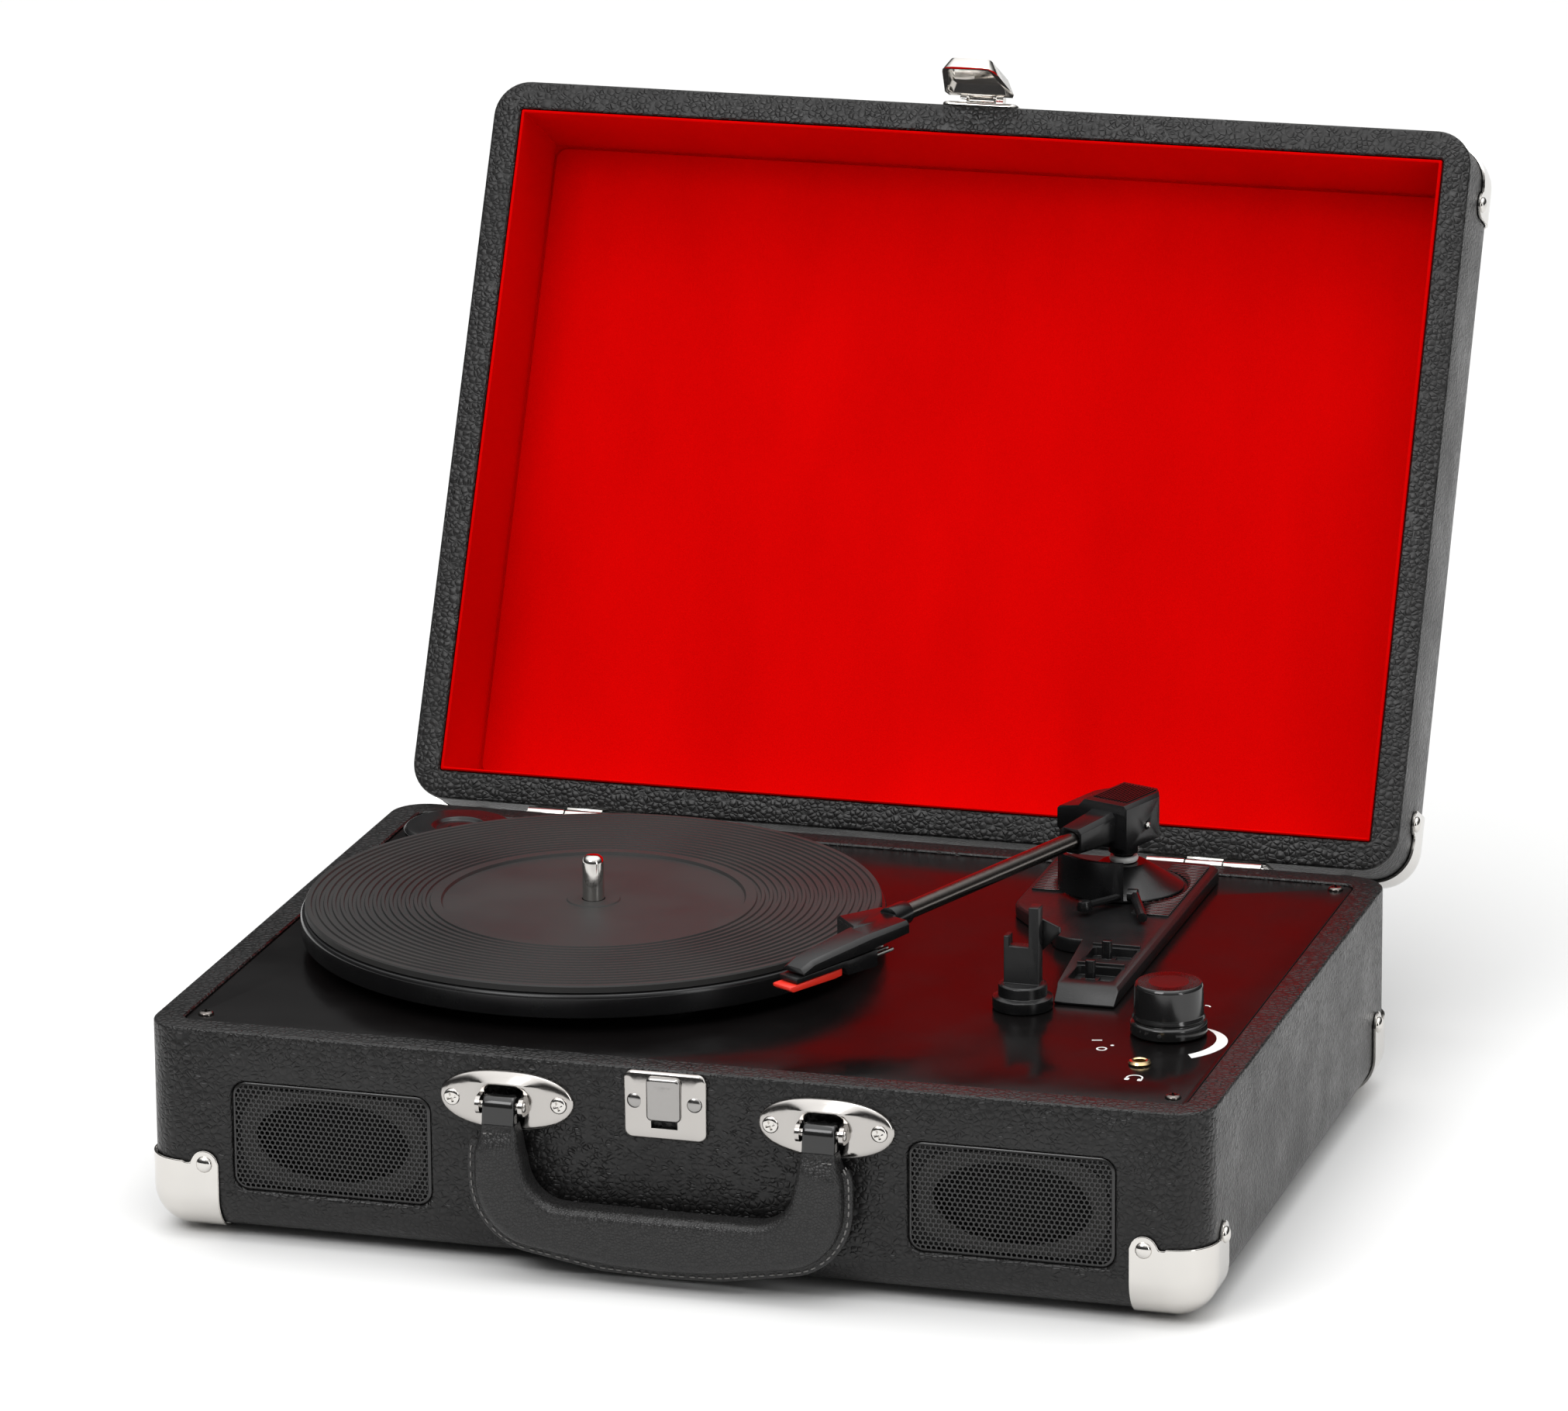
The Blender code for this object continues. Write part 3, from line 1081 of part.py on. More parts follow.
def protector_mesh():
    """A thin cup with two leaves, made for the corner at the origin with the case towards +X, +Y and +Z."""
    inner = protector_grid(GAP)
    outer = protector_grid(GAP + PROTECTOR_WALL)
    bm = bmesh.new()
    grids = [[[bm.verts.new(point) for point in row] for row in grid] for grid in (inner, outer)]
    count, width = len(inner), len(inner[0])
    for grid in grids:
        for r in range(count - 1):
            for c in range(width - 1):
                bm.faces.new((grid[r][c], grid[r][c + 1], grid[r + 1][c + 1], grid[r + 1][c]))
    edge = [(0, c) for c in range(width)] + [(r, width - 1) for r in range(1, count)]
    edge += [(count - 1, c) for c in range(width - 2, -1, -1)] + [(r, 0) for r in range(count - 2, 0, -1)]
    for (r0, c0), (r1, c1) in zip(edge, edge[1:] + edge[:1]):
        bm.faces.new((grids[0][r0][c0], grids[0][r1][c1], grids[1][r1][c1], grids[1][r0][c0]))
    return bm


def build_protectors(frame, lid):
    for name, sx, sy in corners():
        x = sx * CASE_WIDTH / 2
        y = CASE_DEPTH / 2 + sy * CASE_DEPTH / 2
        for where, parent, corner_z, up in (
            ("base", frame, FOOT_HEIGHT, 1),
            ("lid", lid, RIM_Z + LID_GAP + LID_HEIGHT, -1),
        ):
            bm = protector_mesh()
            bm.transform(Matrix.Diagonal((-sx, -sy, up, 1)))
            place = Vector((x, y, corner_z)) if where == "base" else lid_point(x, y, corner_z)
            piece("corner_%s_%s" % (where, name), bm, "chrome", parent, place)


# ---------------------------------------------------------------- build

clear_scene()
FINISH = finishes()
FRAME = empty("frame", None, (0, CASE_FRONT_Y, 0))
build_base(FRAME)
build_deck(FRAME)
build_drive(FRAME)
build_arm_plate(FRAME)
build_lift(FRAME)
build_arm(FRAME)
build_rest(FRAME)
build_controls(FRAME)
build_electronics(FRAME)
build_handle(FRAME)
build_strike(FRAME)
LID = build_lid(FRAME)
build_hinges(FRAME, LID)
build_protectors(FRAME, LID)
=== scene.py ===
"""The looks of the suitcase record player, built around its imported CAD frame.

Lengths are in metres, in the frame's own axes: +X to the right, +Y to the back, +Z up. Pieces of the lid are
built on the closed lid and then turned open about the hinge, which the record's joints give.
"""

import json
from math import asin, cos, hypot, pi, radians, sin, sqrt

import bmesh
import bpy
from mathutils import Matrix, Vector

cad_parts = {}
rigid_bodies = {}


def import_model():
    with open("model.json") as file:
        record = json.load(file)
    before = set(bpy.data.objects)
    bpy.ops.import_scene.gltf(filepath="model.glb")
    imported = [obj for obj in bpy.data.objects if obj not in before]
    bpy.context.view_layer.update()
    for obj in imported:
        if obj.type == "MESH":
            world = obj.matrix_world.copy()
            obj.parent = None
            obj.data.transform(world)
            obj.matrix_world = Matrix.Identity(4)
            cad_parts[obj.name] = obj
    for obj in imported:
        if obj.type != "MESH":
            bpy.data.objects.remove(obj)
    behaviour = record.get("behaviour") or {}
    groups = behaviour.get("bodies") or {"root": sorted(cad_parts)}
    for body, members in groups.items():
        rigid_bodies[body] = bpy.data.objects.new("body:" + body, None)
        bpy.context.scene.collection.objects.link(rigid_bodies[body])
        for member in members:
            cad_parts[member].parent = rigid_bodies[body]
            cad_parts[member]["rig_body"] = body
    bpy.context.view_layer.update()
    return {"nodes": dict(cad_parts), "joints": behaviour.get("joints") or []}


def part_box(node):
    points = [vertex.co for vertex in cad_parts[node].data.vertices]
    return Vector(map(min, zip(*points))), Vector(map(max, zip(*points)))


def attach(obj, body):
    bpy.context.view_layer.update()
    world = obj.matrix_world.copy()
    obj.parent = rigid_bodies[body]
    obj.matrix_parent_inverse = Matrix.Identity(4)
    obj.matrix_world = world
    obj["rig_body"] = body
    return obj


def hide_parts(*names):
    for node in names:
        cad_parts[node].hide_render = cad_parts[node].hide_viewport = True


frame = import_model()

MM = 0.001
GAP = 0.3 * MM
JOINTS = {joint["name"]: joint for joint in frame["joints"]}

CASE_LOW, CASE_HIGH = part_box("base_case")
FRONT, BACK = CASE_LOW.y, CASE_HIGH.y
RIM_Z = CASE_HIGH.z
CASE_WIDTH = CASE_HIGH.x - CASE_LOW.x
CASE_DEPTH = BACK - FRONT
CASE_MIDDLE = (0, (FRONT + BACK) / 2)
DECK_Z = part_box("platter")[0].z - 1.5 * MM
CORNER_RADIUS = 12.75 * MM
EDGE_RADIUS = 12.5 * MM
RIM_WIDTH = 9.8 * MM
RIM_SOFTNESS = 0.9 * MM
LID_GAP = 0.8 * MM
LID_HEIGHT = 45.2 * MM
LINING_DEPTH = 39 * MM
LINING_SLOPES = (0.6 * MM, 2.8 * MM)  # how far the strips lean in at the sides and at the ends
DECK_THICKNESS = 3 * MM
LID_RIM_Z = RIM_Z + LID_GAP
LID_TOP_Z = LID_RIM_Z + LID_HEIGHT


# ---------------------------------------------------------------- places


def shift(x, y, z):
    return Matrix.Translation((x, y, z))


def turn(degrees, axis):
    return Matrix.Rotation(radians(degrees), 4, axis)


def middle(node):
    low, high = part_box(node)
    return (low + high) / 2


def over(node, z):
    """The place over a node's middle at a height."""
    at = middle(node)
    return shift(at.x, at.y, z)


LID_OPEN = radians(JOINTS["lid_hinge"]["range_deg"][1])
LID_AXIS = Matrix.Translation(JOINTS["lid_hinge"]["pos_m"])
OPEN_LID = LID_AXIS @ Matrix.Rotation(-LID_OPEN, 4, "X") @ LID_AXIS.inverted()
PIVOT = Vector(JOINTS["tonearm_lift"]["pos_m"])
ARM_HEADING = asin(JOINTS["tonearm_lift"]["axis"][1])
ARM_PLACE = Matrix.Translation(PIVOT) @ Matrix.Rotation(ARM_HEADING, 4, "Z")


# ---------------------------------------------------------------- materials


def new_material(name, colour, roughness, metallic=0.0, **settings):
    """A material and its shader. Every setting that is the same all over is set on the shader itself."""
    made = bpy.data.materials.new(name)
    made.use_nodes = True
    shader = made.node_tree.nodes["Principled BSDF"]
    shader.inputs["Base Color"].default_value = (*colour, 1.0)
    shader.inputs["Roughness"].default_value = roughness
    shader.inputs["Metallic"].default_value = metallic
    for label, value in settings.items():
        shader.inputs[label.replace("_", " ")].default_value = value
    return made, shader


def add_node(made, kind, inputs=None, **settings):
    node = made.node_tree.nodes.new(kind)
    for label, value in settings.items():
        setattr(node, label, value)
    for label, value in (inputs or {}).items():
        if isinstance(value, bpy.types.NodeSocket):
            made.node_tree.links.new(value, node.inputs[label])
        else:
            node.inputs[label].default_value = value
    return node


def object_coordinates(made, stretch=(1, 1, 1)):
    coordinates = add_node(made, "ShaderNodeTexCoord").outputs["Object"]
    return add_node(made, "ShaderNodeMapping", {"Vector": coordinates, "Scale": stretch}).outputs["Vector"]


def noise(made, vector, scale, detail=2.0, rough=0.5):
    settings = {"Vector": vector, "Scale": scale, "Detail": detail, "Roughness": rough}
    return add_node(made, "ShaderNodeTexNoise", settings).outputs["Fac"]


def voronoi(made, feature, settings):
    return add_node(made, "ShaderNodeTexVoronoi", settings, feature=feature).outputs["Distance"]


def warped(made, vector, scale, amount):
    """Coordinates pushed about by a noise, so that a regular pattern wanders."""
    settings = {"Vector": vector, "Scale": scale, "Detail": 2.0}
    push = add_node(made, "ShaderNodeTexNoise", settings).outputs["Color"]
    for operation, inputs in (
        ("SUBTRACT", {1: (0.5, 0.5, 0.5)}),
        ("SCALE", {"Scale": amount}),
        ("ADD", {1: vector}),
    ):
        node = add_node(made, "ShaderNodeVectorMath", {0: push, **inputs}, operation=operation)
        push = node.outputs["Vector"]
    return push


def mapped(made, value, low, high, to_low=0.0, to_high=1.0):
    settings = {"Value": value, "From Min": low, "From Max": high, "To Min": to_low, "To Max": to_high}
    return add_node(made, "ShaderNodeMapRange", settings).outputs["Result"]


def blended(made, factor, first, second):
    """A colour between two others."""
    node = add_node(made, "ShaderNodeMix", data_type="RGBA")
    sockets = {socket.identifier: socket for socket in node.inputs}
    sockets["A_Color"].default_value = (*first, 1.0)
    sockets["B_Color"].default_value = (*second, 1.0)
    made.node_tree.links.new(factor, sockets["Factor_Float"])
    return {socket.identifier: socket for socket in node.outputs}["Result_Color"]


def bump(made, height, strength, distance, under=None):
    settings = {"Height": height, "Strength": strength, "Distance": distance}
    if under is not None:
        settings["Normal"] = under
    return add_node(made, "ShaderNodeBump", settings).outputs["Normal"]


def connect(made, shader, **outputs):
    for label, output in outputs.items():
        made.node_tree.links.new(output, shader.inputs[label.replace("_", " ")])


def leather(name, cells, depth, colour, crease_shade, shine, stretch=(0.88, 0.88, 1.0)):
    """Embossed leatherette: pebbles parted by creases, with a finer grain on top of each."""
    made, shader = new_material(name, colour, shine, Specular_IOR_Level=0.36)
    place = warped(made, object_coordinates(made, stretch), 260, 0.0016)
    pebbles = voronoi(made, "DISTANCE_TO_EDGE", {"Vector": place, "Scale": cells})
    hills = voronoi(made, "SMOOTH_F1", {"Vector": place, "Scale": cells, "Smoothness": 0.6})
    grooves = mapped(made, pebbles, 0.0, 0.16)
    domes = mapped(made, hills, 0.0, 0.9, 1.0, 0.0)
    height = add_node(made, "ShaderNodeMath", {0: grooves, 1: domes}, operation="MULTIPLY").outputs["Value"]
    fine = noise(made, place, cells * 3.2, 3.0, 0.6)
    broad = noise(made, place, 38, 3.0)
    normal = bump(made, broad, 0.15, 0.5 * MM)
    normal = bump(made, height, 1.0, depth, normal)
    normal = bump(made, fine, 0.3, depth * 0.22, normal)
    worn = mapped(made, broad, 0.3, 0.7, shine - 0.06, shine + 0.08)
    # The grooves between the pebbles take the darker crease_shade colour: painted shade in the creases.
    connect(made, shader, Base_Color=blended(made, grooves, crease_shade, colour), Roughness=worn, Normal=normal)
    return made


def felt(name):
    """Flocked lining: a short pile that lies this way and that."""
    made, shader = new_material(
        name, (0.6, 0.001, 0.001), 0.95, Specular_IOR_Level=0.0, Sheen_Weight=0.05, Sheen_Roughness=0.4
    )
    shader.inputs["Sheen Tint"].default_value = (1.0, 0.02, 0.01, 1.0)
    place = object_coordinates(made)
    pile = noise(made, place, 2600, 2.0, 0.7)
    brushed = noise(made, object_coordinates(made, (1, 0.4, 0.4)), 26, 3.0)
    tone = add_node(made, "ShaderNodeMath", {0: pile, 1: brushed}, operation="ADD").outputs["Value"]
    shade = mapped(made, tone, 0.6, 1.4)
    normal = bump(made, pile, 0.5, 0.12 * MM, bump(made, brushed, 0.2, 0.3 * MM))
    colour = blended(made, shade, (0.52, 0.0006, 0.0006), (0.68, 0.0012, 0.001))
    connect(made, shader, Base_Color=colour, Normal=normal)
    return made


def moulded(name, colour, roughness, grain=900.0, depth=0.03, level=0.5):
    """Moulded plastic with the fine spark-eroded texture of its tool."""
    made, shader = new_material(name, colour, roughness, Specular_IOR_Level=level)
    place = object_coordinates(made)
    texture = noise(made, place, grain * 2, 3.0, 0.65)
    handling = noise(made, place, 45, 4.0)
    rough = mapped(made, handling, 0.3, 0.7, roughness - 0.05, roughness + 0.07)
    tone = blended(made, handling, tuple(c * 0.85 for c in colour), tuple(c * 1.15 for c in colour))
    connect(made, shader, Base_Color=tone, Roughness=rough, Normal=bump(made, texture, 0.5, depth * MM))
    return made


def plated(name, colour, roughness, grain=(1, 1, 1), waviness=0.3):
    """Plated sheet metal: a polish with faint drawing lines and slightly wavy reflections."""
    made, shader = new_material(name, colour, roughness, 1.0)
    lines = noise(made, object_coordinates(made, grain), 900, 3.0, 0.7)
    waves = noise(made, object_coordinates(made), 80, 2.0)
    rough = mapped(made, lines, 0.25, 0.75, roughness * 0.7, roughness * 1.5)
    normal = bump(made, lines, 0.12, 0.01 * MM, bump(made, waves, waviness, 0.45 * MM))
    tone = blended(made, waves, tuple(c * 0.94 for c in colour), colour)
    connect(made, shader, Base_Color=tone, Roughness=rough, Normal=normal)
    return made


def ribbed_rubber(name):
    made, shader = new_material(name, (0.016, 0.016, 0.016), 0.6, Specular_IOR_Level=0.35)
    place = object_coordinates(made)
    dust = noise(made, place, 420, 4.0, 0.7)
    broad = noise(made, place, 22, 3.0)
    colour = blended(made, mapped(made, broad, 0.35, 0.7), (0.012, 0.012, 0.012), (0.022, 0.021, 0.02))
    connect(
        made,
        shader,
        Base_Color=colour,
        Roughness=mapped(made, broad, 0.3, 0.7, 0.5, 0.68),
        Normal=bump(made, dust, 0.4, 0.05 * MM),
    )
    return made


def spun(name):
    """The knob's cap: fine turned rings, which spread its highlights into a fan."""
    settings = {"Anisotropic": 0.85, "Specular_IOR_Level": 0.6}
    made, shader = new_material(name, (0.03, 0.03, 0.03), 0.3, 0.9, **settings)
    place = object_coordinates(made)
    grain = noise(made, place, 1500, 2.0)
    connect(made, shader, Roughness=mapped(made, grain, 0.3, 0.7, 0.22, 0.34))
    tangent = add_node(made, "ShaderNodeTangent", direction_type="RADIAL", axis="Z").outputs["Tangent"]
    connect(made, shader, Tangent=tangent)
    return made


def print_ink(name):
    made, shader = new_material(name, (0.82, 0.82, 0.8), 0.45)
    cover = noise(made, object_coordinates(made), 1400, 3.0, 0.7)
    colour = blended(made, mapped(made, cover, 0.2, 0.6), (0.66, 0.66, 0.65), (0.84, 0.84, 0.82))
    connect(made, shader, Base_Color=colour, Normal=bump(made, cover, 0.2, 0.02 * MM))
    return made


def circuit_board(name):
    made, shader = new_material(name, (0.02, 0.12, 0.05), 0.4)
    place = object_coordinates(made)
    tracks = add_node(
        made, "ShaderNodeTexBrick", {"Vector": place, "Scale": 240.0, "Mortar Size": 0.03}
    ).outputs["Fac"]
    connect(made, shader, Base_Color=blended(made, tracks, (0.02, 0.11, 0.05), (0.05, 0.22, 0.1)))
    return made


def make_looks():
    """Every material by name. Each row's later values are those of its function, in order."""
    black = (0.006, 0.006, 0.0063)
    # The second colour of each pair is painted shade for the grooves of the leather's grain.
    pale, dark = (0.009, 0.0085, 0.0085), (0.002, 0.002, 0.002)
    soft_pale, soft_crease_shade = (0.02, 0.0195, 0.0195), (0.006, 0.006, 0.006)
    rows = (
        (leather, "leatherette", 560, 0.24 * MM, pale, dark, 0.35),
        (leather, "soft_black", 950, 0.13 * MM, soft_pale, soft_crease_shade, 0.33, (1, 1, 1)),
        (felt, "red_felt"),
        (moulded, "deck_black", (0.004, 0.0035, 0.0035), 0.19, 600, 0.01, 0.17),
        (moulded, "black_plastic", black, 0.24, 700, 0.012, 0.36),
        (moulded, "textured_black", black, 0.34, 420, 0.14, 0.34),
        (moulded, "gloss_black", (0.009, 0.009, 0.009), 0.12, 300, 0.004, 0.6),
        (ribbed_rubber, "mat_rubber"),
        (moulded, "rubber", (0.02, 0.02, 0.02), 0.7, 500, 0.05, 0.35),
        (moulded, "grille_metal", (0.012, 0.0115, 0.0115), 0.26, 600, 0.006, 0.6),
        (plated, "chrome", (0.66, 0.64, 0.61), 0.09),
        # Two darker copies of the plating: painted shade, standing in for dark reflections on the handle's
        # brackets, the strike and the strike's catch.
        (plated, "plating_dimmed_for_shade", (0.47, 0.45, 0.43), 0.13),
        (plated, "plating_dimmed_for_deep_shade", (0.34, 0.33, 0.32), 0.17),
        (plated, "steel", (0.6, 0.6, 0.59), 0.28, (1, 6, 1)),
        (plated, "gold", (0.93, 0.68, 0.36), 0.14),
        (plated, "arm_tube", (0.16, 0.145, 0.135), 0.2, (1, 8, 1)),
        (moulded, "stylus_red", (0.78, 0.03, 0.015), 0.3, 600, 0.01),
        (moulded, "white_plastic", (0.72, 0.72, 0.7), 0.35, 500, 0.01),
        (moulded, "baffle", (0.1, 0.098, 0.096), 0.8, 400, 0.05, 0.2),
        (moulded, "thread", (0.16, 0.155, 0.15), 0.6, 2000, 0.04, 0.3),
        (moulded, "paper_cone", (0.012, 0.012, 0.012), 0.75, 260, 0.12, 0.3),
        (circuit_board, "board_green"),
        (spun, "spun_cap"),
        (print_ink, "print_white"),
    )
    return {name: make(name, *values) for make, name, *values in rows}


# ---------------------------------------------------------------- outlines


def circle(radius, steps, centre=(0, 0)):
    step = 2 * pi / steps
    return [(centre[0] + radius * cos(step * i), centre[1] + radius * sin(step * i)) for i in range(steps)]


def ellipse(width, height, steps, centre=(0, 0)):
    return [(centre[0] + x * width / 2, centre[1] + y * height / 2) for x, y in circle(1, steps)]


def arc(centre, radius, start, end, steps):
    angles = [radians(start + (end - start) * i / steps) for i in range(steps + 1)]
    return [(centre[0] + radius * cos(a), centre[1] + radius * sin(a)) for a in angles]


def rounded_rectangle(width, height, radius, steps=6, centre=(0, 0)):
    points = []
    for sx, sy, start in ((1, -1, -90), (1, 1, 0), (-1, 1, 90), (-1, -1, 180)):
        corner = (centre[0] + sx * (width / 2 - radius), centre[1] + sy * (height / 2 - radius))
        points += arc(corner, radius, start, start + 90, steps)
    return points


def quarter(steps, start=0):
    """The sine and cosine at each even step of a quarter turn."""
    angles = [radians(90 * step / steps) for step in range(start, steps + 1)]
    return [(sin(angle), cos(angle)) for angle in angles]


def squared(value, power):
    """Pulls a circle's sine or cosine towards the corners of its square."""
    return abs(value) ** power * (1 if value > 0 else -1)


def squared_oval(centre, half_width, half_height, steps, across, up):
    """An oval between a circle and a square. The two powers say how square it is each way."""
    angles = [2 * pi * i / steps for i in range(steps)]
    return [
        (centre[0] + half_width * squared(cos(a), across), centre[1] + half_height * squared(sin(a), up))
        for a in angles
    ]


def relaxed(line, rounds):
    """The open line smoothed between its fixed ends."""
    for _ in range(rounds):
        inside = [
            ((a[0] + 2 * b[0] + c[0]) / 4, (a[1] + 2 * b[1] + c[1]) / 4)
            for a, b, c in zip(line, line[1:], line[2:])
        ]
        line = [line[0]] + inside + [line[-1]]
    return line


def grown(outline, distance):
    """The closed anticlockwise outline moved outwards along its own normals."""
    moved = []
    for i, (x, y) in enumerate(outline):
        ax, ay = outline[i - 1]
        bx, by = outline[(i + 1) % len(outline)]
        length = hypot(bx - ax, by - ay) or 1.0
        moved.append((x + (by - ay) / length * distance, y - (bx - ax) / length * distance))
    return moved


# ---------------------------------------------------------------- solids


def place_points(outline, axis, depth):
    order = {
        "z": lambda u, v: Vector((u, v, depth)),
        "y": lambda u, v: Vector((u, depth, v)),
        "x": lambda u, v: Vector((depth, u, v)),
    }[axis]
    return [order(u, v) for u, v in outline]


def loft(rings, closed=False):
    bm = bmesh.new()
    rows = [[bm.verts.new(point) for point in ring] for ring in rings]
    count = len(rows[0])
    pairs = list(zip(rows, rows[1:]))
    if closed:
        pairs.append((rows[-1], rows[0]))
    for low, high in pairs:
        for i in range(count):
            j = (i + 1) % count
            bm.faces.new((low[i], low[j], high[j], high[i]))
    if not closed:
        bm.faces.new(list(reversed(rows[0])))
        bm.faces.new(rows[-1])
    return bm


def prism(outline, start, end, axis="z"):
    return loft([place_points(outline, axis, start), place_points(outline, axis, end)])


def block(low, high):
    (x0, y0, z0), (x1, y1, z1) = low, high
    return prism([(x0, y0), (x1, y0), (x1, y1), (x0, y1)], z0, z1)


def turned(profile, steps=96, bore=False):
    """Turns (radius, height) points about Z. With a bore the profile is a closed loop."""
    return loft([place_points(circle(radius, steps), "z", z) for radius, z in profile], closed=bore)


def rounded_profile(points, radius, steps=3):
    """A (radius, height) profile with every inner corner rounded."""
    made = [points[0]]
    for before, here, after in zip(points, points[1:], points[2:]):
        here, before, after = Vector(here), Vector(before), Vector(after)
        reach = min(radius, (before - here).length / 2.2, (after - here).length / 2.2)
        first = here + (before - here).normalized() * reach
        last = here + (after - here).normalized() * reach
        for i in range(steps + 1):
            t = i / steps
            point = first * (1 - t) ** 2 + here * 2 * t * (1 - t) + last * t**2
            made.append(tuple(point))
    return made + [points[-1]]


def rod(start, end, radius, steps=32):
    start, end = Vector(start), Vector(end)
    aim = (end - start).to_track_quat("Z", "Y").to_matrix()
    return loft([[p + aim @ Vector((x, y, 0)) for x, y in circle(radius, steps)] for p in (start, end)])


def recalculate(bm):
    bmesh.ops.recalc_face_normals(bm, faces=bm.faces[:])


def join(bm, other, matrix=None):
    """Adds another shape to a shape, and frees the other."""
    if matrix is not None:
        other.transform(matrix)
    carrier = bpy.data.meshes.new("carrier")
    other.to_mesh(carrier)
    other.free()
    bm.from_mesh(carrier)
    bpy.data.meshes.remove(carrier)
    return bm


def dome(radius, height, steps=36):
    """A domed head on the XY plane, with a flat underside."""
    rings = [(radius, -0.3 * MM)]
    for i in range(7):
        angle = radians(84 * i / 6)
        rings.append((radius * cos(angle), height * sin(angle)))
    return turned(rings, steps)


FACING_FRONT = turn(90, "X")  # +Z of a shape turned to -Y


def on_front(x, z, out):
    """A place on the case's front, this far out, for a shape that stands on the XY plane."""
    return shift(x, FRONT - GAP - out, z) @ FACING_FRONT


def in_mm(*pairs):
    return [(u * MM, v * MM) for u, v in pairs]


# ---------------------------------------------------------------- pieces


def in_scene(name, bm):
    """Turns a shape into an object of the scene, and frees the shape."""
    mesh = bpy.data.meshes.new(name)
    bm.to_mesh(mesh)
    bm.free()
    obj = bpy.data.objects.new(name, mesh)
    bpy.context.scene.collection.objects.link(obj)
    return obj


SHARP = 40  # degrees between two faces at which an edge stays crisp, unless a piece says otherwise


def smooth_by_angle(obj, sharp=SHARP):
    obj.data.shade_smooth()
    obj.data.set_sharp_from_angle(angle=radians(sharp))


def apply_modifiers(obj):
    graph = bpy.context.evaluated_depsgraph_get()
    mesh = bpy.data.meshes.new_from_object(obj.evaluated_get(graph))
    obj.modifiers.clear()
    obj.data = mesh


def face_outward(obj):
    """Turns each shell of a piece right side out. Recalculated normals get thin bowl shapes wrong."""
    bm = bmesh.new()
    bm.from_mesh(obj.data)
    for face in bm.faces:
        face.tag = False
    for seed in bm.faces:
        if seed.tag:
            continue
        seed.tag = True
        shell, waiting, origin, volume = [], [seed], seed.verts[0].co.copy(), 0.0
        while waiting:
            face = waiting.pop()
            shell.append(face)
            points = [vert.co - origin for vert in face.verts]
            volume += sum(points[0].dot(a.cross(b)) for a, b in zip(points[1:], points[2:]))
            for edge in face.edges:
                for other in edge.link_faces:
                    if not other.tag:
                        other.tag = True
                        waiting.append(other)
        if volume < 0:
            bmesh.ops.reverse_faces(bm, faces=shell)
    bm.to_mesh(obj.data)
    bm.free()


def add_bevel(obj, width, segments):
    bevel = obj.modifiers.new("edges", "BEVEL")
    bevel.width = width
    bevel.segments = segments
    bevel.limit_method = "ANGLE"
    bevel.angle_limit = radians(30)
    bevel.use_clamp_overlap = True
    apply_modifiers(obj)


def piece(
    name, bm, look, body, stands_for=(), matrix=None, bevel=0.0, segments=3, cutters=(), sharp=SHARP
):
    """One visible piece: cut, softened along its edges, shaded, given its look and put on its body."""
    recalculate(bm)
    if matrix is not None:
        bm.transform(matrix)
        recalculate(bm)
    obj = in_scene(name, bm)
    for cutter in cutters:
        cut_away(obj, cutter)
    if bevel:
        add_bevel(obj, bevel, segments)
    face_outward(obj)
    obj.data.materials.clear()
    obj.data.materials.append(LOOKS[look])
    smooth_by_angle(obj, sharp)
    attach(obj, body)
    if stands_for:
        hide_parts(*stands_for)
    return obj


def cut_away(obj, bm):
    recalculate(bm)
    tool = in_scene("cutter", bm)
    modifier = obj.modifiers.new("cut", "BOOLEAN")
    modifier.operation = "DIFFERENCE"
    modifier.solver = "EXACT"
    modifier.object = tool
    apply_modifiers(obj)
    bpy.data.objects.remove(tool, do_unlink=True)


def refined(node, look, bevel=0.3 * MM, segments=3, extra=None):
    """The CAD node's own shape with its flat faces made whole and its edges rounded."""
    bm = bmesh.new()
    bm.from_mesh(frame["nodes"][node].data)
    bmesh.ops.remove_doubles(bm, verts=bm.verts[:], dist=0.002 * MM)
    bmesh.ops.dissolve_limit(bm, angle_limit=radians(1.5), verts=bm.verts[:], edges=bm.edges[:])
    body = frame["nodes"][node]["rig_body"]
    made = piece("look_" + node, bm, look, body, (node,), bevel=bevel, segments=segments)
    if extra is not None:
        add_shape(made, extra)


def add_shape(obj, bm):
    """Joins a further shape to a finished piece."""
    recalculate(bm)
    whole = bmesh.new()
    whole.from_mesh(obj.data)
    join(whole, bm)
    whole.to_mesh(obj.data)
    whole.free()
    face_outward(obj)
    smooth_by_angle(obj)


# ---------------------------------------------------------------- case, lid and deck

GRILLE_WIDTH, GRILLE_HEIGHT, GRILLE_CORNER = 67.5 * MM, 36.6 * MM, 5 * MM
GRILLE_CENTRES = [(middle(n).x, middle(n).z) for n in ("speaker_grille_left", "speaker_grille_right")]
CORNER_STEPS = 10
WINDOW_DEPTH = 2.6 * MM


def case_outline(inset_x, inset_y, radius, steps):
    size = (CASE_WIDTH - 2 * inset_x, CASE_DEPTH - 2 * inset_y)
    return rounded_rectangle(*size, radius, steps, CASE_MIDDLE)


def case_ring(inset, z, radius):
    return place_points(case_outline(inset, inset, radius, CORNER_STEPS), "z", z)


def lining_ring(inset_x, inset_y, z, radius):
    return place_points(case_outline(RIM_WIDTH + inset_x, RIM_WIDTH + inset_y, radius, 6), "z", z)


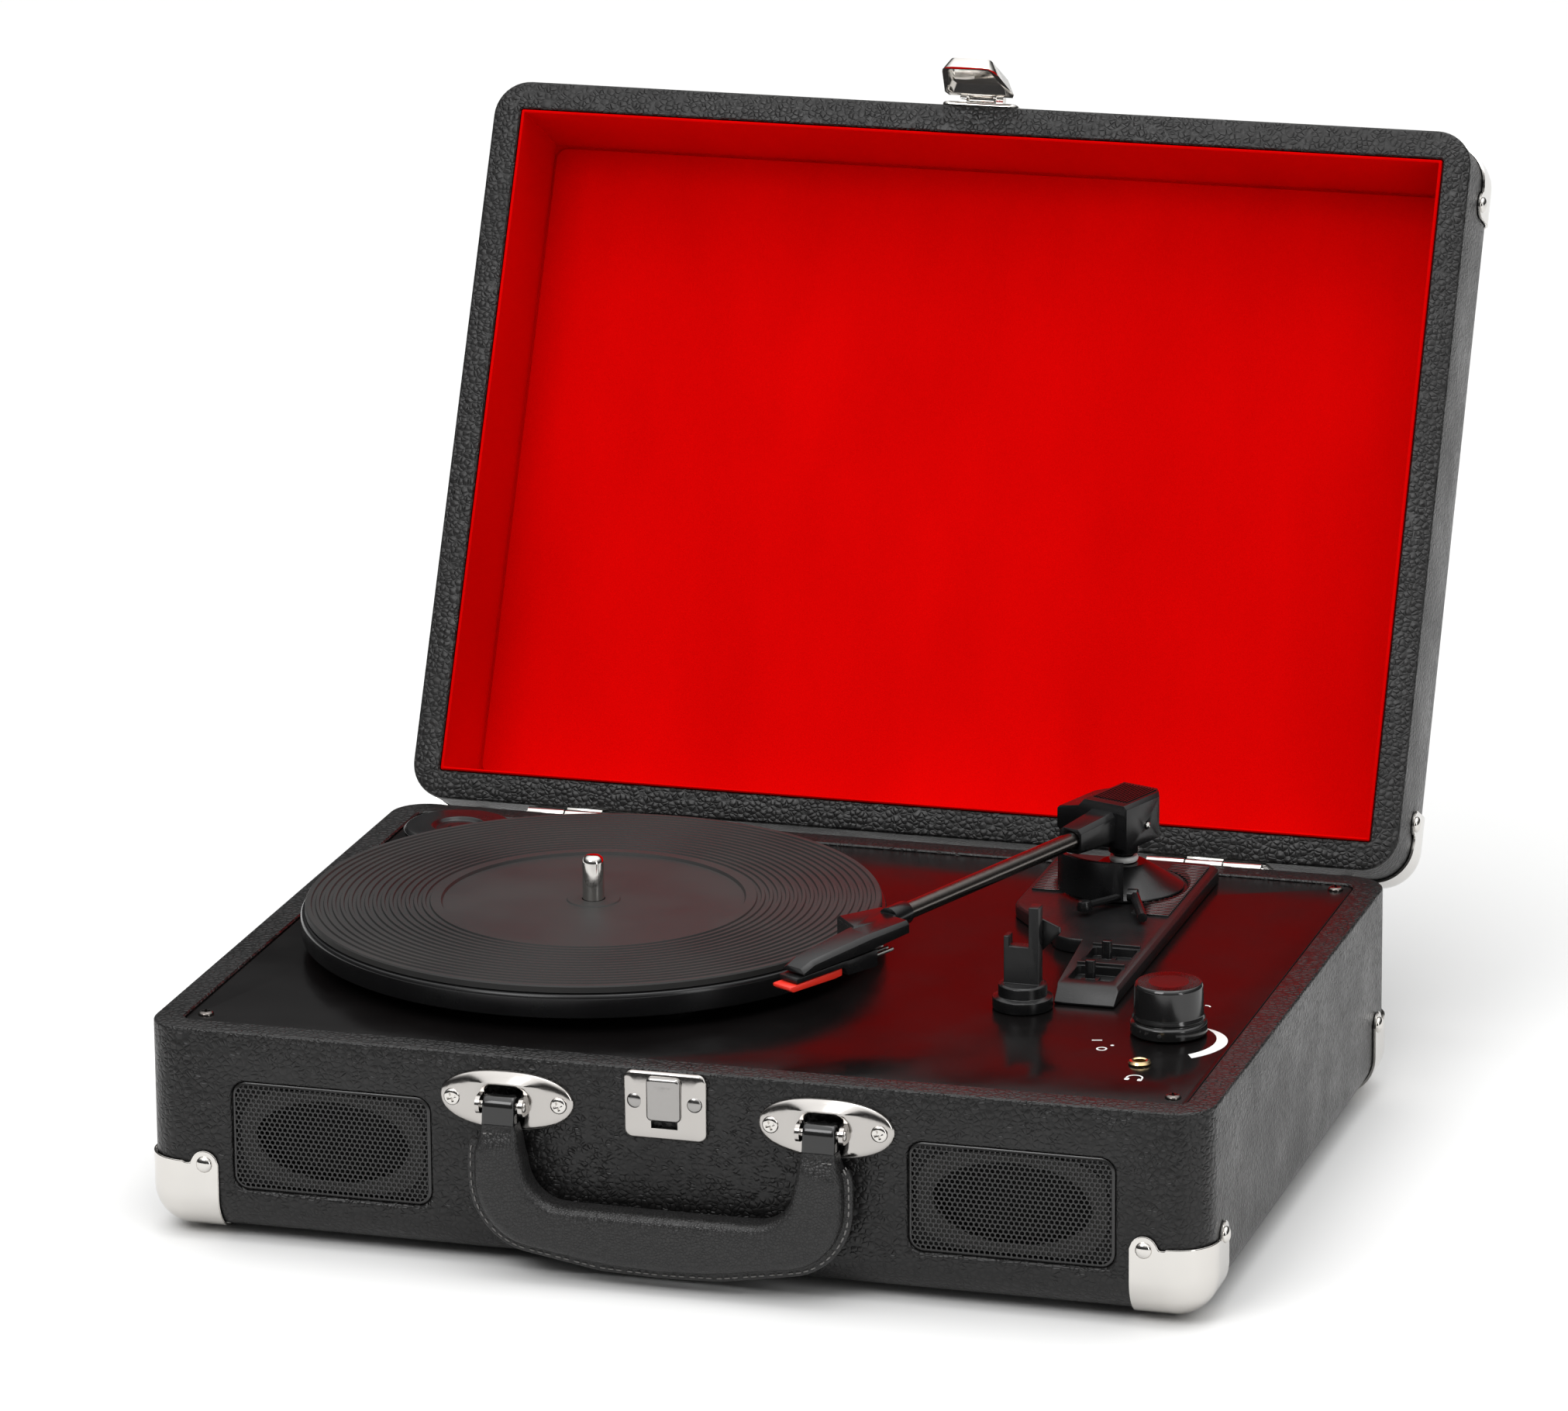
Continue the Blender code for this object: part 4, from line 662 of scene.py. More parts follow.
def outer_rings(bottom, rim, way):
    """From the closed side up over the rounded edge and the wall to the rim."""
    rings = []
    for sine, cosine in quarter(8):
        inset = EDGE_RADIUS * (1 - sine)
        rings.append(case_ring(inset, bottom + way * EDGE_RADIUS * (1 - cosine), CORNER_RADIUS - inset))
    for sine, cosine in quarter(3):
        inset = RIM_SOFTNESS * (1 - cosine)
        rings.append(case_ring(inset, rim - way * RIM_SOFTNESS * (1 - sine), CORNER_RADIUS - inset))
    return rings


def window_cutter(centre):
    """A pocket whose mouth flares where the leatherette is pressed in over its edge."""
    outline = rounded_rectangle(GRILLE_WIDTH, GRILLE_HEIGHT, GRILLE_CORNER, 8, centre)
    lip = 1.5 * MM
    rings = [place_points(grown(outline, lip), "y", FRONT - 3 * MM)]
    for sine, cosine in quarter(5):
        rings.append(place_points(grown(outline, lip * (1 - sine)), "y", FRONT + lip * (1 - cosine)))
    rings.append(place_points(outline, "y", FRONT + WINDOW_DEPTH))
    return loft(rings)


def mouth_cutter(centre):
    mouth = ellipse(54 * MM, 29 * MM, 48, centre)
    return prism(mouth, FRONT, FRONT + 20 * MM, "y")


def build_case():
    bottom, top = CASE_LOW.z, RIM_Z
    inner, ledge = RIM_WIDTH, RIM_WIDTH + 4 * MM
    ledge_z = DECK_Z - DECK_THICKNESS - GAP
    rings = outer_rings(bottom, top, 1)
    rings += [
        case_ring(inner - 0.5 * MM, top, 4.5 * MM),
        case_ring(inner, top - 0.5 * MM, 4 * MM),
        case_ring(inner, ledge_z, 4 * MM),
        case_ring(ledge, ledge_z, 11 * MM),
        case_ring(ledge, bottom + 6 * MM, 11 * MM),
    ]
    socket = middle("rear_socket_plate")
    opening = rounded_rectangle(64 * MM, 26 * MM, 2 * MM, 4, (socket.x, socket.z))
    cutters = [window_cutter(c) for c in GRILLE_CENTRES] + [mouth_cutter(c) for c in GRILLE_CENTRES]
    cutters.append(prism(opening, BACK - 18 * MM, BACK + 4 * MM, "y"))
    piece("case_leather", loft(rings), "leatherette", "base", ("base_case",), cutters=cutters)


def build_lid():
    rings = outer_rings(LID_TOP_Z, LID_RIM_Z, -1)
    rings += [
        case_ring(RIM_WIDTH - 0.5 * MM, LID_RIM_Z, 1.2 * MM),
        case_ring(RIM_WIDTH, LID_RIM_Z + 0.5 * MM, 0.9 * MM),
        case_ring(RIM_WIDTH, LID_TOP_Z - 3.7 * MM, 0.9 * MM),
    ]
    piece("lid_leather", loft(rings), "leatherette", "lid", ("lid_shell",), matrix=OPEN_LID)
    build_lining()


def build_lining():
    """Sloping side strips with a rolled upper edge, and a padded panel with soft edges on the lid's top."""
    low, high = LID_RIM_Z, LID_RIM_Z + LINING_DEPTH
    side, end = LINING_SLOPES
    lip, thick = GAP, 1.2 * MM
    rings = [lining_ring(lip + side, lip + end, high + 0.9 * MM, 0.9 * MM)]
    for inset, up, radius in ((0, 0.9, 0.6), (0.15, 0.3, 0.6), (0.6, 0.05, 0.6), (1.1, 0.3, 0.5)):
        rings.append(lining_ring(lip + inset * MM, lip + inset * MM, low + up * MM, radius * MM))
    for step in range(1, 9):
        t = step / 8
        bow = 0.5 * MM * sin(pi * t)
        inset_x, inset_y = lip + thick + side * t - bow, lip + thick + end * t - bow
        rings.append(lining_ring(inset_x, inset_y, low + LINING_DEPTH * t, 0.5 * MM))
    piece("lining_strips", loft(rings), "red_felt", "lid", ("lid_lining",), matrix=OPEN_LID, sharp=50)

    margin, soft = 1.5 * MM, 1.1 * MM
    panel = [lining_ring(margin + side + soft, margin + end + soft, high - 0.02 * MM, 4 * MM)]
    for sine, cosine in quarter(5):
        grow = soft - soft * (1 - sine) * 0.999
        z = high - 0.05 * MM - soft * 0.9 * (1 - cosine)
        panel.append(lining_ring(margin + side + grow, margin + end + grow, z, 5 * MM - grow))
    panel.append(lining_ring(margin + 20 * MM, margin + 20 * MM, high - 1.35 * MM, 6 * MM))
    piece("lining_panel", loft(panel), "red_felt", "lid", matrix=OPEN_LID, sharp=60)


def screw_piece(name, radius, height, body, place, look="chrome"):
    """A pan head with a cross recess, standing on the XY plane of its place."""
    arm, slot = radius * 0.56, radius * 0.15
    cross = []
    for degrees in (20, 110):
        bar = block((-arm, -slot, height * 0.25), (arm, slot, height + 1 * MM))
        bar.transform(place @ turn(degrees, "Z"))
        cross.append(bar)
    profile = [(radius, -0.3 * MM), (radius, height * 0.35)]
    profile += [(radius * 0.86, height * 0.8), (radius * 0.6, height)]
    head = turned(rounded_profile(profile, 0.4 * MM), 40)
    piece(name, head, look, body, matrix=place, cutters=cross, sharp=30)


def build_deck():
    margin, soft = RIM_WIDTH + GAP, 0.5 * MM
    outline = case_outline(margin, margin, 3.6 * MM, 8)
    rings = [place_points(outline, "z", DECK_Z - DECK_THICKNESS), place_points(outline, "z", DECK_Z - soft)]
    for sine, cosine in quarter(3, start=1):
        rings.append(place_points(grown(outline, -soft * (1 - cosine)), "z", DECK_Z - soft * (1 - sine)))
    low, high = DECK_Z - 5 * MM, DECK_Z + 2 * MM
    holes = [
        (middle("spindle"), 9 * MM),
        (middle("motor_pulley"), 9 * MM),
        (middle("volume_knob"), 4.4 * MM),
        (middle("headphone_jack"), 3.3 * MM),
        (PIVOT, 4.5 * MM),
    ]
    cutters = [prism(circle(radius, 48, (at.x, at.y)), low, high) for at, radius in holes]
    for node in ("speed_slider", "auto_stop_slider"):
        at = middle(node)
        slot = rounded_rectangle(15 * MM, 7 * MM, 1 * MM, 3, (at.x + 1.5 * MM, at.y))
        cutters.append(prism(slot, low, high))
    piece("deck", loft(rings), "deck_black", "base", ("deck_plate",), cutters=cutters)
    boss = rounded_profile([(3.4 * MM, 0), (3.4 * MM, 3.5 * MM), (1.5 * MM, 3.5 * MM)], 0.5 * MM)
    piece("adapter_peg", turned(boss, 40), "deck_black", "base", matrix=over("adapter_45", DECK_Z))
    for side, x in (("left", -161 * MM), ("right", 161 * MM)):
        for end, y in (("front", FRONT + 17.3 * MM), ("back", FRONT + 243 * MM)):
            place = shift(x, y, DECK_Z)
            screw_piece("deck_screw_%s_%s" % (end, side), 2.6 * MM, 1.2 * MM, "base", place, "arm_tube")
    build_print()


def stroke(points, width):
    """An open line of even width, as a closed outline."""
    left, right = [], []
    for i, (x, y) in enumerate(points):
        ax, ay = points[max(i - 1, 0)]
        bx, by = points[min(i + 1, len(points) - 1)]
        length = hypot(bx - ax, by - ay)
        nx, ny = -(by - ay) / length * width / 2, (bx - ax) / length * width / 2
        left.append((x + nx, y + ny))
        right.append((x - nx, y - ny))
    return left + right[::-1]


def build_print():
    """The volume wedge, its end marks, the switch's bar and ring, a dot, and the headphone sign."""
    knob, jack = middle("volume_knob"), middle("headphone_jack")
    fine = 0.55 * MM  # width of the thin lines
    wedge_in, wedge_out = [], []
    steps = 28
    for i in range(steps + 1):
        t = i / steps
        angle = radians(36 - 96 * t)
        inner = (12.9 + 9.6 * t**1.25) * MM
        outer = inner + (0.2 + 4.6 * sin(pi * 0.5 * min(1, t * 1.5)) - 0.9 * t) * MM
        for edge, reach in ((wedge_in, inner), (wedge_out, outer)):
            edge.append((knob.x + reach * cos(angle), knob.y + reach * sin(angle)))
    left = jack.x - 19.0 * MM
    bar = [(left - 1.6 * MM, jack.y + 19.0 * MM), (left + 1.6 * MM, jack.y + 19.8 * MM)]
    ring = (left + 3.6 * MM, jack.y + 11.4 * MM)
    sign_x, sign_y = jack.x + 1.8 * MM, jack.y - 13.8 * MM
    shapes = [wedge_out + wedge_in[::-1]]
    for dx, dy, way in ((5.0, 29.0, 60), (22.2, -10.6, -20)):
        centre = (knob.x + dx * MM, knob.y + dy * MM)
        shapes.append(stroke(arc(centre, 1.5 * MM, way - 50, way + 50, 8), fine))
    shapes += [
        stroke(bar, 0.7 * MM),
        stroke(arc(ring, 1.5 * MM, 0, 352, 30), fine),
        circle(0.6 * MM, 20, (jack.x - 13.0 * MM, jack.y + 15.6 * MM)),
        stroke(arc((sign_x, sign_y), 2.5 * MM, -30, 210, 24), fine),
    ]
    for side in (-1, 1):
        ear = (sign_x + side * 2.1 * MM, sign_y - 1.7 * MM)
        shapes.append(rounded_rectangle(1.5 * MM, 2.0 * MM, 0.5 * MM, 4, ear))
    whole = bmesh.new()
    for shape in shapes:
        join(whole, prism(shape, DECK_Z + 0.01 * MM, DECK_Z + 0.06 * MM))
    piece("deck_print", whole, "print_white", "base")


# ---------------------------------------------------------------- speakers

MESH_PITCH = 1.75 * MM
HOLE_RADIUS = 0.66 * MM
HOLE_ROLL = 0.14 * MM
MESH_THICKNESS = 0.5 * MM
MESH_EDGE = 2.6 * MM
MESH_DROP = 0.9 * MM
MESH_LOOPS = (  # radius and depth of the loops round one hole; None is the lattice cell's own edge
    (None, 0.0),
    (HOLE_RADIUS + 0.08 * MM, HOLE_ROLL * 0.3),
    (HOLE_RADIUS, HOLE_ROLL),
    (HOLE_RADIUS, MESH_THICKNESS),
    (None, MESH_THICKNESS),
)


def edge_distance(u, v):
    """How far inside the grille's rounded outline a point lies."""
    dx = abs(u) - (GRILLE_WIDTH / 2 - GRILLE_CORNER)
    dy = abs(v) - (GRILLE_HEIGHT / 2 - GRILLE_CORNER)
    outside = hypot(max(dx, 0), max(dy, 0)) + min(max(dx, dy), 0)
    return GRILLE_CORNER - outside


def mesh_depth(u, v):
    """The grille's face curves back towards its edge."""
    near = max(0.0, 1 - max(edge_distance(u, v), 0) / MESH_EDGE)
    return MESH_DROP * (1 - sqrt(max(0.0, 1 - near**2)))


def build_grille(name, centre, node):
    bm = bmesh.new()
    shared = {}
    face_y = FRONT + 0.5 * MM

    def corner(u, v, back):
        key = (round(u / MM, 3), round(v / MM, 3), round(back / MM, 3))
        if key not in shared:
            y = face_y + mesh_depth(u, v) + back
            shared[key] = bm.verts.new((centre[0] + u, y, centre[1] + v))
        return shared[key]

    row_pitch = MESH_PITCH * sqrt(3) / 2
    rows = int(GRILLE_HEIGHT / 2 / row_pitch) + 1
    columns = int(GRILLE_WIDTH / 2 / MESH_PITCH) + 1
    for row in range(-rows, rows + 1):
        for column in range(-columns, columns + 1):
            u = (column + 0.5 * (row % 2)) * MESH_PITCH
            v = row * row_pitch
            if edge_distance(u, v) < 0.95 * MM:
                continue
            loops = []
            for radius, back in MESH_LOOPS:
                loop = []
                for k in range(12):
                    angle = radians(30 * k)
                    reach = radius or (MESH_PITCH / sqrt(3) if k % 2 else MESH_PITCH / 2)
                    loop.append(corner(u + reach * cos(angle), v + reach * sin(angle), back))
                loops.append(loop)
            for near, far in zip(loops, loops[1:]):
                for k in range(12):
                    n = (k + 1) % 12
                    bm.faces.new((near[k], near[n], far[n], far[k]))
    behind = round(MESH_THICKNESS / MM, 3)
    twins = {shared[key]: shared[key[:2] + (behind,)] for key in shared if key[2] == 0}
    for edge in [e for e in bm.edges if e.is_boundary]:
        a, b = edge.verts
        if a in twins and b in twins:
            bm.faces.new((a, b, twins[b], twins[a]))
    outline = rounded_rectangle(GRILLE_WIDTH - 0.3 * MM, GRILLE_HEIGHT - 0.3 * MM, GRILLE_CORNER, 10)
    rings = []
    for inset, back in ((1.0, 0), (0.7, 0), (0.4, 0), (0.1, 0), (0.0, 0), (0.0, 1), (0.5, 1), (1.0, 1)):
        row = []
        for u, v in grown(outline, -inset * MM):
            y = face_y + mesh_depth(u, v) + (0.7 if back else -0.02) * MM
            row.append(Vector((centre[0] + u, y, centre[1] + v)))
        rings.append(row)
    join(bm, loft(rings, closed=True))
    piece(name, bm, "grille_metal", "base", (node,), sharp=60)


def build_baffle(name, centre):
    """The card behind the grille, with the cone's oval mouth in it."""
    mouth = ellipse(52 * MM, 27 * MM, 64, centre)
    edge = squared_oval(centre, 31 * MM, 16.4 * MM, 64, 0.6, 0.6)
    front, back = FRONT + WINDOW_DEPTH - 0.65 * MM, FRONT + WINDOW_DEPTH - 0.2 * MM
    lines = ((edge, front), (mouth, front), (mouth, back), (edge, back))
    rings = [place_points(line, "y", y) for line, y in lines]
    piece(name, loft(rings, closed=True), "baffle", "base")


def build_speaker(name, centre, node):
    """Flange, rolled surround, paper cone and dust cap, as one turned oval."""
    start = FRONT + RIM_WIDTH + 4.3 * MM
    rows = [(74, 42, 3), (74, 42, 0), (60, 33, 0), (57, 30.5, -1.2), (53, 28, -1.6), (49, 25.5, -1.0)]
    rows += [(46, 23, 0.3), (28, 15, 6), (18, 12, 8.5), (17, 11.4, 6.5), (12, 8.5, 4.4)]
    rows += [(6, 4.2, 3.4), (1, 0.8, 3.2)]
    rings = [place_points(ellipse(w * MM, h * MM, 48, centre), "y", start + d * MM) for w, h, d in rows]
    piece(name, loft(rings), "paper_cone", "base", (node,), sharp=55)


def build_speakers():
    for side, centre in zip(("left", "right"), GRILLE_CENTRES):
        build_grille("grille_" + side, centre, "speaker_grille_" + side)
        build_baffle("speaker_baffle_" + side, centre)
        build_speaker("speaker_cone_" + side, centre, "speaker_" + side)


# ---------------------------------------------------------------- platter

DRIVE_RING = 75 * MM  # radius the belt runs on
LABEL_RADIUS = 50.5 * MM
MAT_RIB = 2.7 * MM
BORE = 3.9 * MM


def build_platter():
    here = over("platter", 0)
    low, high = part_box("platter")
    radius, top = (high.x - low.x) / 2, high.z
    ring, recess, skirt = DRIVE_RING, top - 3 * MM, top - 8 * MM
    profile = [
        (BORE, low.z),
        (11 * MM, low.z),
        (12 * MM, recess),
        (ring - 2.2 * MM, recess),
        (ring - 2.2 * MM, low.z + 0.5 * MM),
        (ring, low.z + 0.5 * MM),
        (ring, recess),
        (radius - 2.5 * MM, recess),
        (radius - 2.2 * MM, skirt),
        (radius - 0.4 * MM, skirt),
        (radius, top - 1.2 * MM),
        (radius - 0.5 * MM, top - 0.2 * MM),
        (radius - 1.2 * MM, top),
        (BORE, top),
    ]
    plate = turned(rounded_profile(profile, 0.4 * MM), 160, bore=True)
    piece("platter_turned", plate, "black_plastic", "platter", ("platter",), matrix=here)
    mat_low, mat_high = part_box("platter_mat")
    mat_radius, mat_top = (mat_high.x - mat_low.x) / 2, mat_high.z
    label, groove = LABEL_RADIUS, mat_top - 0.55 * MM
    profile = [(BORE, mat_low.z), (mat_radius, mat_low.z), (mat_radius, mat_top - 0.5 * MM)]
    profile += [(mat_radius - 0.4 * MM, mat_top), (mat_radius - 2 * MM, mat_top)]
    at = mat_radius - 2 * MM
    while at - MAT_RIB > label + 1 * MM:
        profile += [(at - 0.3 * MM, groove), (at - MAT_RIB + 1.3 * MM, groove)]
        profile += [(at - MAT_RIB + 1.0 * MM, mat_top), (at - MAT_RIB, mat_top)]
        at -= MAT_RIB
    profile += [(label, mat_top), (label - 0.5 * MM, mat_top - 0.9 * MM), (9 * MM, mat_top - 0.9 * MM)]
    profile += [(8.6 * MM, mat_top - 0.5 * MM), (BORE, mat_top - 0.5 * MM)]
    mat = turned(profile, 160, bore=True)
    piece("mat_ribbed", mat, "mat_rubber", "platter", ("platter_mat",), matrix=here, sharp=25)
    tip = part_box("spindle")[1].z
    shaft = [(3.6 * MM, DECK_Z), (3.6 * MM, tip - 2.4 * MM), (3.2 * MM, tip - 1.0 * MM)]
    shaft += [(2.2 * MM, tip - 0.25 * MM), (0.9 * MM, tip)]
    piece("spindle_polished", turned(shaft, 64), "chrome", "base", ("spindle",), matrix=here, sharp=50)


# ---------------------------------------------------------------- handle and its brackets

PIN = Vector(JOINTS["handle_hinge"]["pos_m"])
BRACKET_X = 53 * MM
HANDLE_HALF, HANDLE_DROP, HANDLE_GRIP = 64 * MM, 52.6 * MM, 21.5 * MM
FLANGE = 2.8 * MM
STITCH_PITCH, STITCH_LENGTH, STITCH_INSET, THREAD_RADIUS = 3.0 * MM, 1.9 * MM, 1.35 * MM, 0.3 * MM


def handle_edges():
    """The padded body's outer and inner edges about the pins' axis, right half, at matching points."""
    drop, half = HANDLE_DROP - FLANGE, HANDLE_HALF - FLANGE
    outer_corner, inner_corner, bow = 22 * MM, 14 * MM, 4 * MM
    outer = [[(BRACKET_X + 5.6 * MM, -5.4 * MM), (BRACKET_X + 6 * MM, -9.4 * MM), (half, -14 * MM)]]
    outer.append(arc((half - outer_corner, -drop + bow + outer_corner), outer_corner, 0, -72, 24))
    outer.append([(18 * MM, -drop + 0.7 * MM), (0, -drop)])
    inner_half = BRACKET_X - 6.6 * MM
    centre = (inner_half - 1.6 * MM - inner_corner, -HANDLE_DROP + HANDLE_GRIP + inner_corner)
    inner = [[(BRACKET_X - 5.6 * MM, -5.4 * MM), (inner_half, -9.4 * MM), (inner_half - 0.6 * MM, -14 * MM)]]
    inner.append(arc(centre, inner_corner, 0, -82, 24))
    inner.append([(10 * MM, -HANDLE_DROP + HANDLE_GRIP), (0, -HANDLE_DROP + HANDLE_GRIP)])
    return [matched(parts) for parts in (outer, inner)]


def matched(parts):
    """Three stretches of an edge, each at its own fixed number of points, relaxed into one line."""
    line = []
    ends = [parts[0] + parts[1][:1], parts[1], parts[1][-1:] + parts[2]]
    for part, count in zip(ends, (22, 36, 26)):
        line += spread(part, count)[: -1 if part is not ends[-1] else None]
    return relaxed(line, 10)


def spread(points, count):
    """An open line at a fixed number of evenly spaced points."""
    lengths = [0.0]
    for (ax, ay), (bx, by) in zip(points, points[1:]):
        lengths.append(lengths[-1] + hypot(bx - ax, by - ay))
    made = []
    for i in range(count):
        at = lengths[-1] * i / (count - 1)
        k = max(j for j in range(len(points) - 1) if lengths[j] <= at + 1e-12)
        t = min(1.0, (at - lengths[k]) / max(lengths[k + 1] - lengths[k], 1e-9))
        (ax, ay), (bx, by) = points[k], points[k + 1]
        made.append((ax + (bx - ax) * t, ay + (by - ay) * t))
    return made


def padded_section(width, share):
    """A flat front with soft edges. The share runs from a flat strap to the full padding."""
    front, back = -(4.3 + 1.9 * share) * MM, (2.6 + 1.2 * share) * MM
    points = []
    corners = ((0, front, 3.4, 180), (1, front, 3.2, 270), (1, back, 1.8, 0), (0, back, 1.8, 90))
    for side, y, radius, start in corners:
        r = min(radius * (0.5 + 0.5 * share) * MM, width * 0.32)
        centre = (width - r if side else r, y + r if y < 0 else y - r)
        points += arc(centre, r, start, start + 90, 8)
    return points


def padded_body():
    outer, inner = handle_edges()
    rungs = list(zip(outer, inner))
    rungs = [((-a[0], a[1]), (-b[0], b[1])) for a, b in rungs] + rungs[-2::-1]
    rings = []
    for (ox, oz), (ix, iz) in rungs:
        width = hypot(ix - ox, iz - oz)
        across = ((ix - ox) / width, (iz - oz) / width)
        share = min(1.0, max(0.0, (-oz - 6 * MM) / (9 * MM)))
        share = share * share * (3 - 2 * share)
        ring = []
        for a, y in padded_section(width, share):
            crown = 0.4 * MM * sin(pi * min(max(a / width, 0), 1)) * share * (y < -3 * MM)
            ring.append(Vector((ox + across[0] * a, PIN.y + y - crown, PIN.z + oz + across[1] * a)))
        rings.append(ring)
    return loft(rings)


def flange_path():
    """The stitched edge runs round the outside only, from shoulder to shoulder."""
    drop, half = HANDLE_DROP, HANDLE_HALF
    corner, bow = 24.4 * MM, 4 * MM
    right = [(0, -drop), (20 * MM, -drop + 0.6 * MM)]
    right += arc((half - corner, -drop + bow + corner), corner, -72, 0, 16)
    right += [(half, -13 * MM), (half - 1.4 * MM, -10.6 * MM)]
    return flowing_open([(-x, z) for x, z in reversed(right[1:])] + right, 0.9 * MM, 10)


def build_handle():
    piece("handle_padded", padded_body(), "soft_black", "handle", ("handle",), sharp=75)
    path = flange_path()
    piece("handle_piping", sweep_flat(path, FLANGE + 1.2 * MM, 2.1 * MM), "soft_black", "handle", sharp=60)
    piece("handle_stitches", stitches(path), "thread", "handle", sharp=80)
    loops = strap_loop(-BRACKET_X)
    join(loops, strap_loop(BRACKET_X))
    piece("handle_loops", loops, "gloss_black", "handle", sharp=60)


def flowing_open(points, spacing, rounds):
    """An open line at an even spacing, relaxed between its fixed ends."""
    even = []
    for (ax, ay), (bx, by) in zip(points, points[1:]):
        steps = max(1, round(hypot(bx - ax, by - ay) / spacing))
        even += [(ax + (bx - ax) * i / steps, ay + (by - ay) * i / steps) for i in range(steps)]
    even.append(points[-1])
    return relaxed(even, rounds)


def frames_along(path):
    """For each point, its place and the outward normal in the handle's plane."""
    made = []
    for i, (x, z) in enumerate(path):
        ax, az = path[max(i - 1, 0)]
        bx, bz = path[min(i + 1, len(path) - 1)]
        length = hypot(bx - ax, bz - az)
        made.append((x, z, (bz - az) / length, -(bx - ax) / length))
    return made


def sweep_flat(path, width, thickness):
    """A thin strip with a rounded outer edge, swept along the path's inner side."""
    section = [(width, -thickness / 2), (0.6 * MM, -thickness / 2), (0.18 * MM, -thickness * 0.34), (0, 0)]
    section += [(0.18 * MM, thickness * 0.34), (0.6 * MM, thickness / 2), (width, thickness / 2)]
    section = section[::-1]
    rings = []
    y0 = PIN.y - 1.4 * MM
    for x, z, nx, nz in frames_along(path):
        rings.append([Vector((x - nx * u, y0 + y, PIN.z + z - nz * u)) for u, y in section])
    return loft(rings)


def stitches(path):
    """Short threads laid end to end along the flange, front and back."""
    whole = bmesh.new()
    travelled, due = 0.0, STITCH_PITCH
    points = frames_along(path)
    for (ax, az, _, _), (bx, bz, nx, nz) in zip(points, points[1:]):
        travelled += hypot(bx - ax, bz - az)
        if travelled < due:
            continue
        due += STITCH_PITCH
        along = Vector((bx - ax, 0, bz - az)).normalized()
        for y in (-2.5 * MM, -0.3 * MM):
            at = Vector((bx - nx * STITCH_INSET, PIN.y + y, PIN.z + bz - nz * STITCH_INSET))
            join(whole, thread(at, along, STITCH_LENGTH, THREAD_RADIUS))
    for side in (-1, 1):
        for step in range(-2, 3):
            at = Vector((side * BRACKET_X + step * 2.0 * MM, PIN.y - 4.5 * MM, PIN.z - 8.2 * MM))
            join(whole, thread(at, Vector((1, 0, 0)), 1.4 * MM, THREAD_RADIUS))
    return whole


def thread(at, along, length, radius):
    aim = along.to_track_quat("Z", "Y").to_matrix()
    rings = []
    for t, share in ((-0.5, 0.35), (-0.36, 0.85), (0, 1.0), (0.36, 0.85), (0.5, 0.35)):
        rings.append([at + aim @ Vector((x, y, t * length)) for x, y in circle(radius * share, 8)])
    return loft(rings)


def strap_loop(x):
    """The polished tongue that wraps the steel pin and tucks into the strap below."""
    profile = arc((0, 0), 3.6 * MM, 0, 180, 14)
    profile += [(-3.9 * MM, -3 * MM), (-3.9 * MM, -6.6 * MM), (2.2 * MM, -6.6 * MM), (3.3 * MM, -3 * MM)]
    rings = []
    half = 5.4 * MM
    steps = ((-half, 0.9), (-half + 0.12 * MM, 0.45), (-half + 0.45 * MM, 0.12), (-half + 1.1 * MM, 0))
    steps += tuple((-u, shrink) for u, shrink in reversed(steps))
    for u, shrink in steps:
        shape = grown(profile, -shrink * MM)
        rings.append([Vector((x + u, PIN.y + y, PIN.z + z)) for y, z in shape])
    return loft(rings)


def pin_ear(x, y, z, radius, steps, root, spread_z, half):
    """An ear that carries a pin at (y, z) and ends in its plate, root in front of the case."""
    section = arc((y, z), radius, 90, 270, steps)
    section += [(FRONT - root, z - spread_z), (FRONT - root, z + spread_z)]
    ear = prism(section, x - half, x + half, "x")
    soften(ear, 0.3 * MM)
    return ear


def bracket_surface(outer, window, x):
    """The pressed plate: a rolled edge, a soft crown, and a hump that arches over the strap."""
    rows = [(0.0, 0.3), (0.0, -0.3), (0.02, -0.7), (0.06, -1.1), (0.15, -1.5), (0.3, -1.95), (0.5, -2.4)]
    rows += [(0.7, -2.75), (0.86, -2.95), (0.95, -2.9), (1.0, -2.6), (1.0, -0.2)]
    centre = Vector((x, PIN.z))
    rings = []
    for t, y in rows:
        ring = []
        for (ou, ov), (iu, iv) in zip(outer, window):
            u, v = ou + (iu - ou) * t, ov + (iv - ov) * t
            above = max(0.0, (v - centre.y - 1 * MM) / (7 * MM))
            side = max(0.0, 1 - (abs(u - centre.x) / (12 * MM)) ** 2)
            hump = 3.6 * MM * min(above, 1.0) * side * min(1.0, max(0.0, (t - 0.1) / 0.6)) ** 1.3
            ring.append(Vector((u, FRONT - GAP + y * MM - hump * (y < -0.3), v)))
        rings.append(ring)
    return rings


